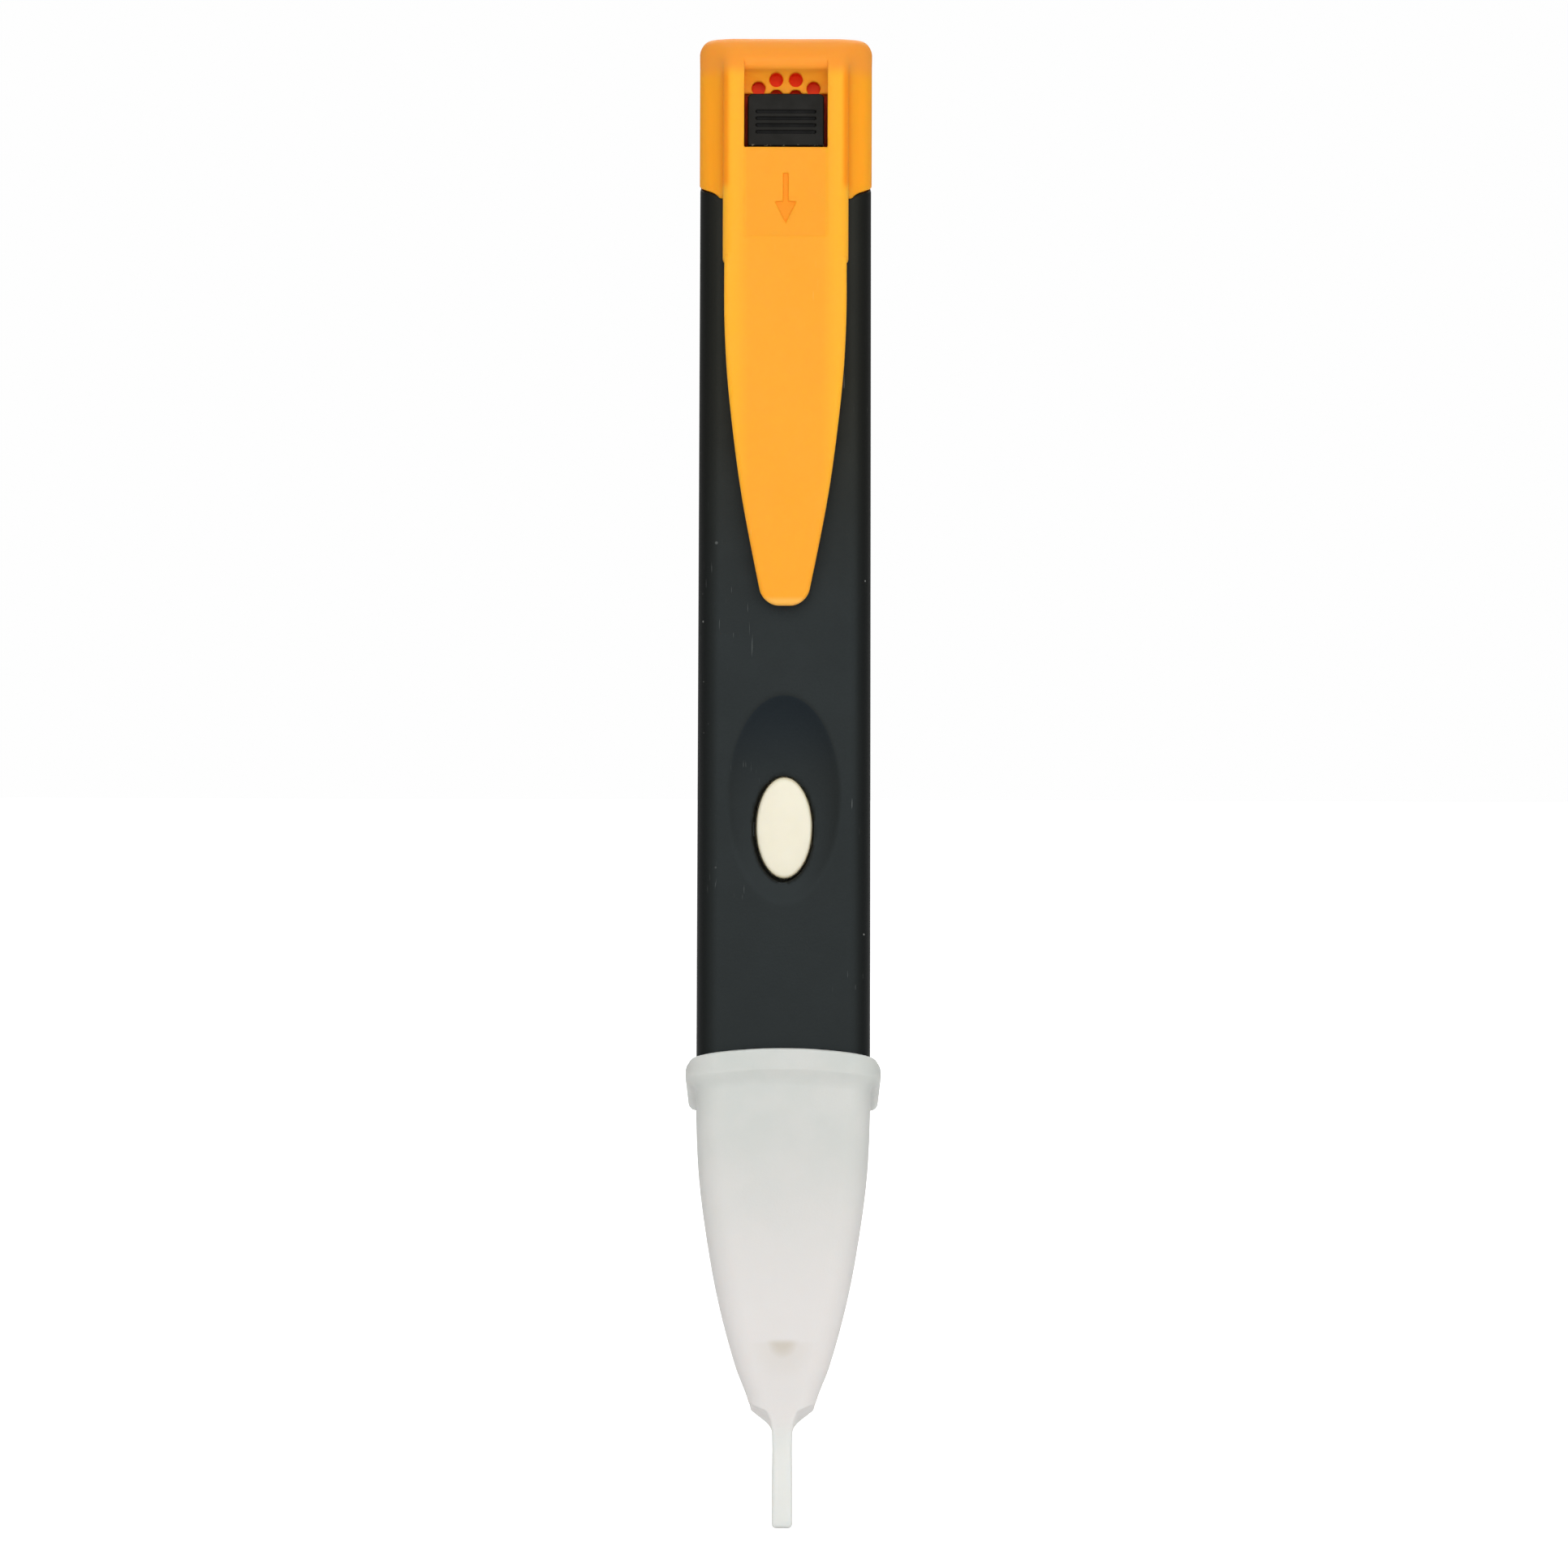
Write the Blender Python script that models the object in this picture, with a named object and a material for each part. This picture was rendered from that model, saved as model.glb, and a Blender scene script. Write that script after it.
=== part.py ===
"""Pen-shaped non-contact voltage tester, standing on its sensing blade.

Frame: origin at the middle of the blade's end face, +Z along the pen towards the end cap,
-Y is the front with the clip and the button, +X is to the right of someone facing the front.
All sizes below are millimetres; every mesh is turned into metres when it is made.
"""

import math

import bmesh
import bpy
from mathutils import Vector

MM = 0.001
GAP = 0.3                # clearance between pieces that rest on each other

# Overall
LENGTH = 160.0
HALF_DEPTH = 12.2        # barrel, front to middle
HALF_WIDTH_TOP = 9.3     # barrel at the cap
HALF_WIDTH_LOW = 9.48    # barrel at the collar, by the mould's draft
CORNER = 2.4             # outer corner radius of the barrel
WALL = 1.1
CORNER_STEPS = 5         # segments in each corner arc
SMOOTH_ANGLE = math.radians(35)

# Slanted ends of the barrel: z = level + tilt * y - crown * x * x
COLLAR_LEVEL = 50.0
COLLAR_TILT = -0.18
COLLAR_CROWN = 0.009
JOINT_LEVEL = 145.1
JOINT_TILT = 0.15

# Barrel
INNER_HALF_WIDTH = 8.2
INNER_HALF_DEPTH = HALF_DEPTH - WALL
BUTTON_WALL_INNER = -9.9          # the front wall is thicker around the thumb dimple
BAY_FLOOR = 94.3                  # top of the bulkhead under the cells
GUIDE_X = (6.7, 7.8)
GUIDE_HALF_DEPTH = 8.5
GUIDE_Z = (134.0, 148.0)

# Nose
COLLAR_BULGE = 1.2
COLLAR_HEIGHT = 3.0
SPIGOT_TOP = 58.0
NOSE_WALL = 1.25
CAVITY_FLOOR = 16.6
BLADE_HALF_WIDTH = 1.12
BLADE_HALF_DEPTH = 3.3
BLADE_EDGE = 0.44
# height, half width, half depth, corner radius: hand-set outline of the nose from collar to shoulder
NOSE_OUTLINE = (
    (44.5, 9.44, 11.95, 2.6),
    (38.7, 9.17, 11.20, 2.9),
    (31.6, 8.29, 9.70, 3.0),
    (24.6, 7.01, 7.90, 2.9),
    (17.5, 5.12, 5.80, 2.4),
    (12.6, 3.48, 4.10, 1.6),
)
SHOULDER_Z = 12.6
BLADE_ROOT_Z = 10.0
SCOOP_STEPS = 4

# Cap and clip
CAP_HALF_WIDTH = 9.39
CAP_CEILING = 158.6
CAP_EDGE = 2.0
BLOCK_HALF_WIDTH = 6.75
BLOCK_FRONT = -15.4
BLOCK_BOTTOM = 136.0
BLOCK_SLOPE_Z = 157.2
CHANNEL_HALF_WIDTH = 4.44
PLATE_THICKNESS = 0.6
GRILLE_FRONT = -11.9
GRILLE_BACK = -10.9
WINDOW_Z = (148.17, 156.6)
WINDOW_RAMP_Z = 154.3             # below this the grille floor is flat, above it slopes out
GRILLE_CENTRE_Z = 150.94
GRILLE_HOLE_RADIUS = 0.74
GRILLE_RINGS = ((14, 4.7), (9, 3.08))
CLIP_THICKNESS = (1.0, 2.0)       # at the thin end and at the ribbed root
CLIP_TAPER_Z = (110.5, 119.0)     # the ribs grow between these heights
CLIP_END_Z = 99.45
CLIP_GROOVE_Z = (109.0, 136.0)
CLIP_BUMP_Z = 105.0
# height, half width: hand-set outline of the clip arm above its rounded end
CLIP_OUTLINE = (
    (135.7, 6.51),
    (129.3, 6.46),
    (122.0, 5.99),
    (111.2, 4.61),
    (101.3, 2.71),
)
CLIP_END_RADIUS = 1.65

# Latch
TONGUE_HALF_WIDTH = 3.97
TONGUE_BACK = -13.1
TONGUE_FRONT = -14.0
TAB_FRONT = -14.5
TAB_Z = (148.45, 153.7)
TONGUE_ROOT_Z = (138.5, 141.0)
LATCH_PIVOT = (0.0, -13.3, 140.5)

# Button and switch
BUTTON_Z = 75.86
BUTTON_HALF = (2.99, 5.29)
BUTTON_GAP = 0.35
BUTTON_FACE = -12.0
BUTTON_RIM = -11.5
FLANGE_GROWTH = 1.3
FLANGE_Y = (-9.6, -8.9)
DIMPLE_Z = 78.94
DIMPLE_HALF = (6.06, 11.13)
DIMPLE_DEPTH = 1.0
DIMPLE_ROUNDNESS = 4.0            # half axis of the dimple's ellipsoid across the wall
PLUNGER_RADIUS = 1.75
PLUNGER_Y = (-8.6, -4.4)
SWITCH_HALF = 3.0

# Board, chassis and lamp
BOARD_Y = (-1.8, -0.6)
BOARD_HALF_WIDTH = 5.6
BOARD_NECK_HALF_WIDTH = 4.2
BOARD_Z = (27.0, 55.0, 91.5)
CHASSIS_Y = (-0.3, 0.9)
LED_Y = -1.2
LED_RADIUS = 1.5
LED_TIP_Z = 18.9
LED_LEAD_PITCH = 2.54
LED_LEAD_SIDE = 0.5

# Cells
CELL_RADIUS = 5.0
SLEEVE_RADII = (5.08, 5.25)
CELL_OFFSET = 5.4
CELL_Z = (98.0, 142.5)
NUB_RADIUS = 1.9
NUB_HEIGHT = 0.9
CELL_SIDES = 28


# ---------------------------------------------------------------- materials

def material(name, colour, roughness, metallic=0.0):
    """Principled material, made once for each name."""
    found = bpy.data.materials.get(name)
    if found:
        return found
    made = bpy.data.materials.new(name)
    made.use_nodes = True
    made.diffuse_color = (*colour, 1.0)
    shader = made.node_tree.nodes["Principled BSDF"]
    shader.inputs["Base Color"].default_value = (*colour, 1.0)
    shader.inputs["Roughness"].default_value = roughness
    shader.inputs["Metallic"].default_value = metallic
    return made


def slate_plastic():
    return material("slate_plastic", (0.032, 0.037, 0.039), 0.55)


def orange_plastic():
    return material("orange_plastic", (0.95, 0.40, 0.035), 0.5)


def white_plastic():
    return material("white_plastic", (0.80, 0.80, 0.77), 0.45)


def cream_plastic():
    return material("cream_plastic", (0.89, 0.84, 0.70), 0.5)


def black_plastic():
    return material("black_plastic", (0.02, 0.02, 0.018), 0.5)


def board_green():
    return material("board_green", (0.02, 0.16, 0.07), 0.5)


def nickel():
    return material("nickel", (0.75, 0.74, 0.70), 0.3, 1.0)


def brass():
    return material("brass", (0.78, 0.57, 0.22), 0.35, 1.0)


def ceramic():
    return material("ceramic", (0.82, 0.80, 0.75), 0.6)


def lamp_red():
    return material("lamp_red", (0.70, 0.05, 0.03), 0.15)


def sleeve_blue():
    return material("sleeve_blue", (0.03, 0.10, 0.28), 0.3)


# ---------------------------------------------------------------- object helpers

def add_object(name, data, parent=None):
    made = bpy.data.objects.new(name, data)
    bpy.context.scene.collection.objects.link(made)
    if parent is not None:
        made.parent = parent
        made.location = -parent.location
    return made


def solid(name, bm, look, parent=None):
    """Turns a bmesh in millimetres into an object in metres."""
    bmesh.ops.recalc_face_normals(bm, faces=bm.faces)
    bmesh.ops.scale(bm, vec=(MM, MM, MM), verts=bm.verts)
    mesh = bpy.data.meshes.new(name)
    bm.to_mesh(mesh)
    bm.free()
    mesh.shade_smooth()
    mesh.set_sharp_from_angle(angle=SMOOTH_ANGLE)
    mesh.materials.append(look)
    return add_object(name, mesh, parent)


def axis_empty(name, place):
    """Empty on a joint's axis, the parent of what that joint moves."""
    made = bpy.data.objects.new(name, None)
    made.location = Vector(place) * MM
    bpy.context.scene.collection.objects.link(made)
    return made


def combine(target, tool, operation):
    """Boolean of target with tool, which is kept as a hidden cutter."""
    tool.hide_render = True
    tool.display_type = "WIRE"
    change = target.modifiers.new(tool.name, "BOOLEAN")
    change.operation = operation
    change.object = tool
    change.solver = "EXACT"


def subtract(target, tool):
    combine(target, tool, "DIFFERENCE")


def unite(target, tool):
    combine(target, tool, "UNION")


def bevel(target, width, segments=2):
    change = target.modifiers.new("edge", "BEVEL")
    change.width = width * MM
    change.segments = segments
    change.limit_method = "ANGLE"
    change.angle_limit = math.radians(40)
    change.use_clamp_overlap = True


# ---------------------------------------------------------------- shape helpers

def section(half_width, front, back, radius, level, tilt=0.0, crown=0.0):
    """Rounded rectangle seen from above, as a closed loop of points."""
    centres = (
        (half_width - radius, back - radius, 0),
        (-half_width + radius, back - radius, 90),
        (-half_width + radius, front + radius, 180),
        (half_width - radius, front + radius, 270),
    )
    points = []
    for cx, cy, start in centres:
        for step in range(CORNER_STEPS + 1):
            angle = math.radians(start + 90 * step / CORNER_STEPS)
            x = cx + radius * math.cos(angle)
            y = cy + radius * math.sin(angle)
            points.append((x, y, level + tilt * y - crown * x * x))
    return points


def loft_mesh(loops, closed=False):
    """Skin over loops of equally many points; ends are capped unless the skin closes on itself."""
    bm = bmesh.new()
    rings = [[bm.verts.new(p) for p in loop] for loop in loops]
    pairs = list(zip(rings, rings[1:]))
    if closed:
        pairs.append((rings[-1], rings[0]))
    count = len(rings[0])
    for low, high in pairs:
        for i in range(count):
            j = (i + 1) % count
            bm.faces.new((low[i], low[j], high[j], high[i]))
    if not closed:
        bm.faces.new(list(reversed(rings[0])))
        bm.faces.new(rings[-1])
    return bm


def box_mesh(low, high):
    x0, y0, z0 = low
    x1, y1, z1 = high
    corners = ((x0, y0), (x1, y0), (x1, y1), (x0, y1))
    return loft_mesh([[(x, y, z) for x, y in corners] for z in (z0, z1)])


def box(name, low, high, look, parent=None):
    return solid(name, box_mesh(low, high), look, parent)


def prism_x(name, outline, half_width, look, parent=None):
    """Outline of (y, z) points, extruded evenly to both sides of the middle plane."""
    loops = [[(x, y, z) for y, z in outline] for x in (-half_width, half_width)]
    return solid(name, loft_mesh(loops), look, parent)


def turned_mesh(profile, centre, axis, sides):
    """Solid of revolution. profile is (radius, distance along axis); centre fixes the axis line."""
    index = "xyz".index(axis)
    across = [i for i in range(3) if i != index]
    loops = []
    for radius, along in profile:
        loop = []
        for k in range(sides):
            angle = 2 * math.pi * k / sides
            point = [0.0, 0.0, 0.0]
            point[index] = along
            point[across[0]] = centre[0] + radius * math.cos(angle)
            point[across[1]] = centre[1] + radius * math.sin(angle)
            loop.append(tuple(point))
        loops.append(loop)
    return loops


def turned(name, profile, centre, axis, look, sides=24, closed=False, parent=None):
    loops = turned_mesh(profile, centre, axis, sides)
    return solid(name, loft_mesh(loops, closed), look, parent)


def ellipse_stack(name, rows, level, look, sides=32, parent=None):
    """Loft of upright ellipses. rows are (y, half width, half height) about (0, level)."""
    loops = []
    for y, half_x, half_z in rows:
        angles = [2 * math.pi * k / sides for k in range(sides)]
        loops.append([(half_x * math.cos(a), y, level + half_z * math.sin(a)) for a in angles])
    return solid(name, loft_mesh(loops), look, parent)


def wire(name, points, radius, look, parent=None):
    """Round wire through points, as a curve with filled ends."""
    curve = bpy.data.curves.new(name, "CURVE")
    curve.dimensions = "3D"
    curve.bevel_depth = radius * MM
    curve.bevel_resolution = 1
    curve.use_fill_caps = True
    curve.resolution_u = 1
    curve.render_resolution_u = 0
    spline = curve.splines.new("POLY")
    spline.points.add(len(points) - 1)
    for knot, place in zip(spline.points, points):
        knot.co = (*(Vector(place) * MM), 1.0)
    curve.materials.append(look)
    return add_object(name, curve, parent)


def coil(centre_y, low, high, radius_low, radius_high, turns, steps=12):
    """Points of a conical spring, with a flat closed turn at each end."""
    count = turns * steps
    points = []
    for k in range(count + 1):
        share = k / count
        climb = min(max((share * turns - 0.8) / (turns - 1.6), 0.0), 1.0)
        radius = radius_low + (radius_high - radius_low) * share
        angle = 2 * math.pi * share * turns
        x = radius * math.cos(angle)
        y = centre_y + radius * math.sin(angle)
        points.append((x, y, low + (high - low) * climb))
    return points


# ---------------------------------------------------------------- barrel

def barrel_outer(level, tilt=0.0, crown=0.0):
    share = (level - COLLAR_LEVEL) / (JOINT_LEVEL - COLLAR_LEVEL)
    half_width = HALF_WIDTH_LOW + (HALF_WIDTH_TOP - HALF_WIDTH_LOW) * share
    return section(half_width, -HALF_DEPTH, HALF_DEPTH, CORNER, level, tilt, crown)


def barrel_inner(level, front, tilt=0.0, crown=0.0):
    return section(INNER_HALF_WIDTH, front, INNER_HALF_DEPTH, 1.5, level, tilt, crown)


def build_body_shell():
    low = COLLAR_LEVEL + GAP
    top = JOINT_LEVEL - GAP / 2
    loops = [
        barrel_outer(low, COLLAR_TILT, COLLAR_CROWN),
        barrel_outer(low + 8),
        barrel_outer(97.0),
        barrel_outer(top - 8),
        barrel_outer(top, JOINT_TILT),
        barrel_inner(top, -INNER_HALF_DEPTH, JOINT_TILT),
        barrel_inner(BAY_FLOOR - 1.6, -INNER_HALF_DEPTH),
        barrel_inner(BAY_FLOOR - 3.4, BUTTON_WALL_INNER),
        barrel_inner(low, BUTTON_WALL_INNER, COLLAR_TILT, COLLAR_CROWN),
    ]
    shell = solid("body_shell", loft_mesh(loops, closed=True), slate_plastic())
    for side in (-1, 1):
        plate_x = sorted((side * GUIDE_X[0], side * GUIDE_X[1]))
        root_x = sorted((side * (GUIDE_X[1] - 0.3), side * (INNER_HALF_WIDTH + 0.4)))
        reach = GUIDE_HALF_DEPTH
        plate = box_mesh((plate_x[0], -reach, GUIDE_Z[0]), (plate_x[1], reach, GUIDE_Z[1]))
        root = box_mesh((root_x[0], -reach, GUIDE_Z[0]), (root_x[1], reach, GUIDE_Z[1] - 6.5))
        unite(shell, solid(f"guide_plate_{side}", plate, slate_plastic()))
        unite(shell, solid(f"guide_root_{side}", root, slate_plastic()))
    subtract(shell, dimple_cutter())
    hole = [half + BUTTON_GAP for half in BUTTON_HALF]
    rows = ((-HALF_DEPTH - 1, *hole), (BUTTON_WALL_INNER + 1, *hole))
    subtract(shell, ellipse_stack("button_hole", rows, BUTTON_Z, slate_plastic()))
    return shell


def dimple_cutter():
    """Ellipsoid that dips into the front face by the dimple's depth."""
    lift = DIMPLE_ROUNDNESS - DIMPLE_DEPTH
    spread = math.sqrt(1 - (lift / DIMPLE_ROUNDNESS) ** 2)
    bm = bmesh.new()
    bmesh.ops.create_uvsphere(bm, u_segments=32, v_segments=16, radius=1.0)
    size = (DIMPLE_HALF[0] / spread, DIMPLE_ROUNDNESS, DIMPLE_HALF[1] / spread)
    bmesh.ops.scale(bm, vec=size, verts=bm.verts)
    bmesh.ops.translate(bm, vec=(0, -HALF_DEPTH - lift, DIMPLE_Z), verts=bm.verts)
    return solid("thumb_dimple", bm, slate_plastic())


# ---------------------------------------------------------------- nose

def nose_section(row, inset=0.0):
    level, half_width, half_depth, radius = row
    half_width -= inset
    half_depth -= inset
    radius = max(radius - inset, 0.6)
    return section(half_width, -half_depth, half_depth, radius, level)


def collar_section(drop, bulge):
    """Loop of the slanted collar, drop below its top edge and bulge outside the barrel."""
    level = COLLAR_LEVEL - drop
    half_depth = HALF_DEPTH + bulge
    half_width = HALF_WIDTH_LOW + bulge
    radius = CORNER + bulge
    return section(half_width, -half_depth, half_depth, radius, level, COLLAR_TILT, COLLAR_CROWN)


def scoop_rows():
    """Concave shoulder that narrows from the nose to the blade."""
    top_width, top_depth, top_radius = NOSE_OUTLINE[-1][1:]
    rows = []
    for step in range(1, SCOOP_STEPS + 1):
        turn = math.radians(90 * step / SCOOP_STEPS)
        level = SHOULDER_Z - (SHOULDER_Z - BLADE_ROOT_Z) * (1 - math.cos(turn))
        half_width = top_width - (top_width - BLADE_HALF_WIDTH) * math.sin(turn)
        half_depth = top_depth - (top_depth - BLADE_HALF_DEPTH) * step / SCOOP_STEPS
        radius = top_radius - (top_radius - BLADE_EDGE) * step / SCOOP_STEPS
        rows.append((level, half_width, half_depth, min(radius, half_width - 0.1)))
    return rows


def blade_rows():
    full = (BLADE_HALF_WIDTH, BLADE_HALF_DEPTH, BLADE_EDGE)
    tight = BLADE_EDGE * 0.3
    return [
        (BLADE_EDGE, *full),
        (tight, full[0] - tight, full[1] - tight, BLADE_EDGE),
        (0.0, full[0] - BLADE_EDGE, full[1] - BLADE_EDGE, BLADE_EDGE / 2),
    ]


def build_nose_cone():
    spigot = (INNER_HALF_WIDTH - GAP, BUTTON_WALL_INNER + GAP, INNER_HALF_DEPTH - GAP)
    floor_row = (CAVITY_FLOOR, 3.2, 3.6, 1.4)
    loops = [nose_section(floor_row)]
    loops += [nose_section(row, NOSE_WALL) for row in reversed(NOSE_OUTLINE[:4])]
    loops += [
        section(spigot[0] - 1, spigot[1] + 1, spigot[2] - 1, 1.5, SPIGOT_TOP - 8),
        section(spigot[0] - 1, spigot[1] + 1, spigot[2] - 1, 1.5, SPIGOT_TOP),
        section(*spigot, 1.5, SPIGOT_TOP),
        section(*spigot, 1.5, COLLAR_LEVEL, COLLAR_TILT, COLLAR_CROWN),
        collar_section(0.0, 0.0),
        collar_section(0.15, 0.6),
        collar_section(0.7, 1.05),
        collar_section(COLLAR_HEIGHT / 2, COLLAR_BULGE),
        collar_section(COLLAR_HEIGHT - 0.6, 1.0),
        collar_section(COLLAR_HEIGHT - 0.1, 0.4),
        collar_section(COLLAR_HEIGHT + 0.5, -0.02),
    ]
    loops += [nose_section(row) for row in [*NOSE_OUTLINE[1:], *scoop_rows(), *blade_rows()]]
    nose = solid("nose_cone", loft_mesh(loops), white_plastic())
    slot = box("sensor_slot", (-0.45, -1.9, 2.0), (0.45, 1.9, CAVITY_FLOOR + 1), white_plastic())
    subtract(nose, slot)
    return nose


# ---------------------------------------------------------------- cap, clip and latch

def cap_outer(level, inset=0.0, tilt=0.0):
    radius = max(CORNER - inset * 0.3, 1.0)
    half_depth = HALF_DEPTH - inset
    return section(CAP_HALF_WIDTH - inset, -half_depth, half_depth, radius, level, tilt)


def cap_inner(level, tilt=0.0):
    return section(INNER_HALF_WIDTH, GRILLE_BACK, INNER_HALF_DEPTH, 1.5, level, tilt)


def build_end_cap(parent):
    low = JOINT_LEVEL + GAP / 2
    loops = [cap_inner(CAP_CEILING), cap_inner(low, JOINT_TILT), cap_outer(low, 0, JOINT_TILT)]
    loops.append(cap_outer(152.0))
    for step in range(4):
        turn = math.radians(30 * step)
        inset = CAP_EDGE * (1 - math.cos(turn))
        loops.append(cap_outer(LENGTH - CAP_EDGE * (1 - math.sin(turn)), inset))
    cap = solid("end_cap", loft_mesh(loops), orange_plastic(), parent)
    unite(cap, clip_block())
    subtract(cap, latch_channel())
    subtract(cap, latch_window())
    subtract(cap, grille_drills())
    return cap


def clip_block():
    """Raised block that carries the clip and covers the latch tongue."""
    rear = -HALF_DEPTH - GAP
    outline = [
        (rear, BLOCK_BOTTOM),
        (BLOCK_FRONT, BLOCK_BOTTOM),
        (BLOCK_FRONT, BLOCK_SLOPE_Z),
        (-HALF_DEPTH - 0.7, LENGTH - 0.3),
        (-HALF_DEPTH + 1.6, LENGTH - 0.3),
        (-HALF_DEPTH + 0.7, JOINT_LEVEL - 0.7),
        (rear, JOINT_LEVEL - 0.7),
    ]
    return prism_x("clip_block", outline, BLOCK_HALF_WIDTH, orange_plastic())


def latch_channel():
    """Way for the tongue, open at the bottom, behind the thin arrow plate."""
    rear = BLOCK_FRONT + PLATE_THICKNESS
    low = (-CHANNEL_HALF_WIDTH, rear, BLOCK_BOTTOM - 1)
    high = (CHANNEL_HALF_WIDTH, GRILLE_FRONT, WINDOW_RAMP_Z)
    return box("latch_channel", low, high, orange_plastic())


def latch_window():
    """Window for the tab, with the grille floor sloping out to the block's face."""
    ramp_top = WINDOW_Z[1]
    outline = [
        (BLOCK_FRONT - 1, WINDOW_Z[0]),
        (GRILLE_FRONT - 0.05, WINDOW_Z[0]),
        (GRILLE_FRONT - 0.05, WINDOW_RAMP_Z - 0.05),
        (GRILLE_FRONT - 0.9, WINDOW_RAMP_Z + 0.7),
        (BLOCK_FRONT, ramp_top),
        (BLOCK_FRONT - 1, ramp_top),
    ]
    return prism_x("latch_window", outline, CHANNEL_HALF_WIDTH - 0.01, orange_plastic())


def grille_drills():
    """Sound holes on two rings, as one cutter of many rods; the rails have none."""
    bm = bmesh.new()
    for count, ring_radius in GRILLE_RINGS:
        for k in range(count):
            angle = 2 * math.pi * (k + 0.5) / count
            centre = (ring_radius * math.sin(angle), GRILLE_CENTRE_Z + ring_radius * math.cos(angle))
            inside = abs(centre[0]) + GRILLE_HOLE_RADIUS < CHANNEL_HALF_WIDTH
            if not inside or centre[1] < JOINT_LEVEL + 0.6:
                continue
            behind_plate = centre[1] < WINDOW_Z[0] + GRILLE_HOLE_RADIUS
            start = TONGUE_FRONT if behind_plate else BLOCK_FRONT - 1
            profile = ((GRILLE_HOLE_RADIUS, start), (GRILLE_HOLE_RADIUS, GRILLE_BACK + 1))
            rod = loft_mesh(turned_mesh(profile, centre, "y", 10))
            mesh = bpy.data.meshes.new("sound_hole")
            bmesh.ops.recalc_face_normals(rod, faces=rod.faces)
            rod.to_mesh(mesh)
            rod.free()
            bm.from_mesh(mesh)
            bpy.data.meshes.remove(mesh)
    return solid("sound_holes", bm, orange_plastic())


def clip_half_width(level):
    for (z_high, w_high), (z_low, w_low) in zip(CLIP_OUTLINE, CLIP_OUTLINE[1:]):
        if level >= z_low:
            return w_low + (w_high - w_low) * (level - z_low) / (z_high - z_low)
    depth = CLIP_OUTLINE[-1][0] - level
    depth = min(depth, CLIP_END_RADIUS)
    return CLIP_OUTLINE[-1][1] - CLIP_END_RADIUS + math.sqrt(CLIP_END_RADIUS ** 2 - depth ** 2)


def clip_face(level):
    """Front face of the arm, which bows out by half a millimetre between block and end."""
    share = (BLOCK_BOTTOM - level) / (BLOCK_BOTTOM - CLIP_END_Z)
    return BLOCK_FRONT - 0.5 * math.sin(math.pi * min(max(share, 0.0), 1.0))


def clip_back(level):
    """Rear face of the arm; above the thin end it runs down to two ribs beside the groove."""
    low, high = CLIP_TAPER_Z
    share = min(max((level - low) / (high - low), 0.0), 1.0)
    thin, thick = CLIP_THICKNESS
    return clip_face(level) + thin + (thick - thin) * share


def build_pocket_clip(parent):
    levels = [row[0] for row in CLIP_OUTLINE]
    levels += [125.6, 115.0, 107.0, *CLIP_TAPER_Z]
    levels += [CLIP_OUTLINE[-1][0] - CLIP_END_RADIUS * math.sin(math.radians(a)) for a in (30, 60, 80)]
    levels += [CLIP_END_Z]
    loops = []
    for level in sorted(levels):
        half = clip_half_width(max(level, CLIP_OUTLINE[-1][0] - CLIP_END_RADIUS + 0.02))
        front = clip_face(level)
        back = clip_back(level)
        edge = 0.5
        loops.append([
            (-half, back, level),
            (-half, front + edge, level),
            (-half + edge, front, level),
            (half - edge, front, level),
            (half, front + edge, level),
            (half, back, level),
        ])
    clip = solid("pocket_clip", loft_mesh(loops), orange_plastic(), parent)
    groove_low = (-CHANNEL_HALF_WIDTH, BLOCK_FRONT + PLATE_THICKNESS, CLIP_GROOVE_Z[0])
    groove_high = (CHANNEL_HALF_WIDTH, -11.0, CLIP_GROOVE_Z[1])
    subtract(clip, box("clip_groove", groove_low, groove_high, orange_plastic()))
    bump = [(-15.0, CLIP_BUMP_Z - 3), (-15.0, CLIP_BUMP_Z + 3), (-13.3, CLIP_BUMP_Z + 1.8),
            (-HALF_DEPTH - GAP, CLIP_BUMP_Z + 0.7), (-HALF_DEPTH - GAP, CLIP_BUMP_Z - 0.7),
            (-13.3, CLIP_BUMP_Z - 1.8)]
    unite(clip, prism_x("clip_bump", bump, 2.2, orange_plastic()))
    return clip


def build_latch_tongue(parent):
    root_low, root_high = TONGUE_ROOT_Z
    outline = [
        (TONGUE_FRONT, root_low),
        (-HALF_DEPTH - GAP, root_low),
        (-HALF_DEPTH - GAP, root_high),
        (TONGUE_BACK, root_high + 0.6),
        (TONGUE_BACK, TAB_Z[1]),
        (TAB_FRONT + 0.4, TAB_Z[1]),
        (TAB_FRONT, TAB_Z[1] - 0.4),
        (TAB_FRONT, TAB_Z[0]),
        (TONGUE_FRONT, TAB_Z[0]),
    ]
    return prism_x("latch_tongue", outline, TONGUE_HALF_WIDTH, black_plastic(), parent)


# ---------------------------------------------------------------- button and switch

def build_button_cap(parent):
    half_x, half_z = BUTTON_HALF
    flange = (half_x + FLANGE_GROWTH, half_z + FLANGE_GROWTH)
    rows = (
        (FLANGE_Y[1], *flange),
        (FLANGE_Y[0], *flange),
        (FLANGE_Y[0], half_x, half_z),
        (BUTTON_RIM, half_x, half_z),
        (BUTTON_RIM - 0.3, half_x - 0.25, half_z - 0.3),
        (BUTTON_FACE + 0.04, half_x * 0.6, half_z * 0.6),
        (BUTTON_FACE, half_x * 0.2, half_z * 0.2),
    )
    return ellipse_stack("button_cap", rows, BUTTON_Z, cream_plastic(), parent=parent)


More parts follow.
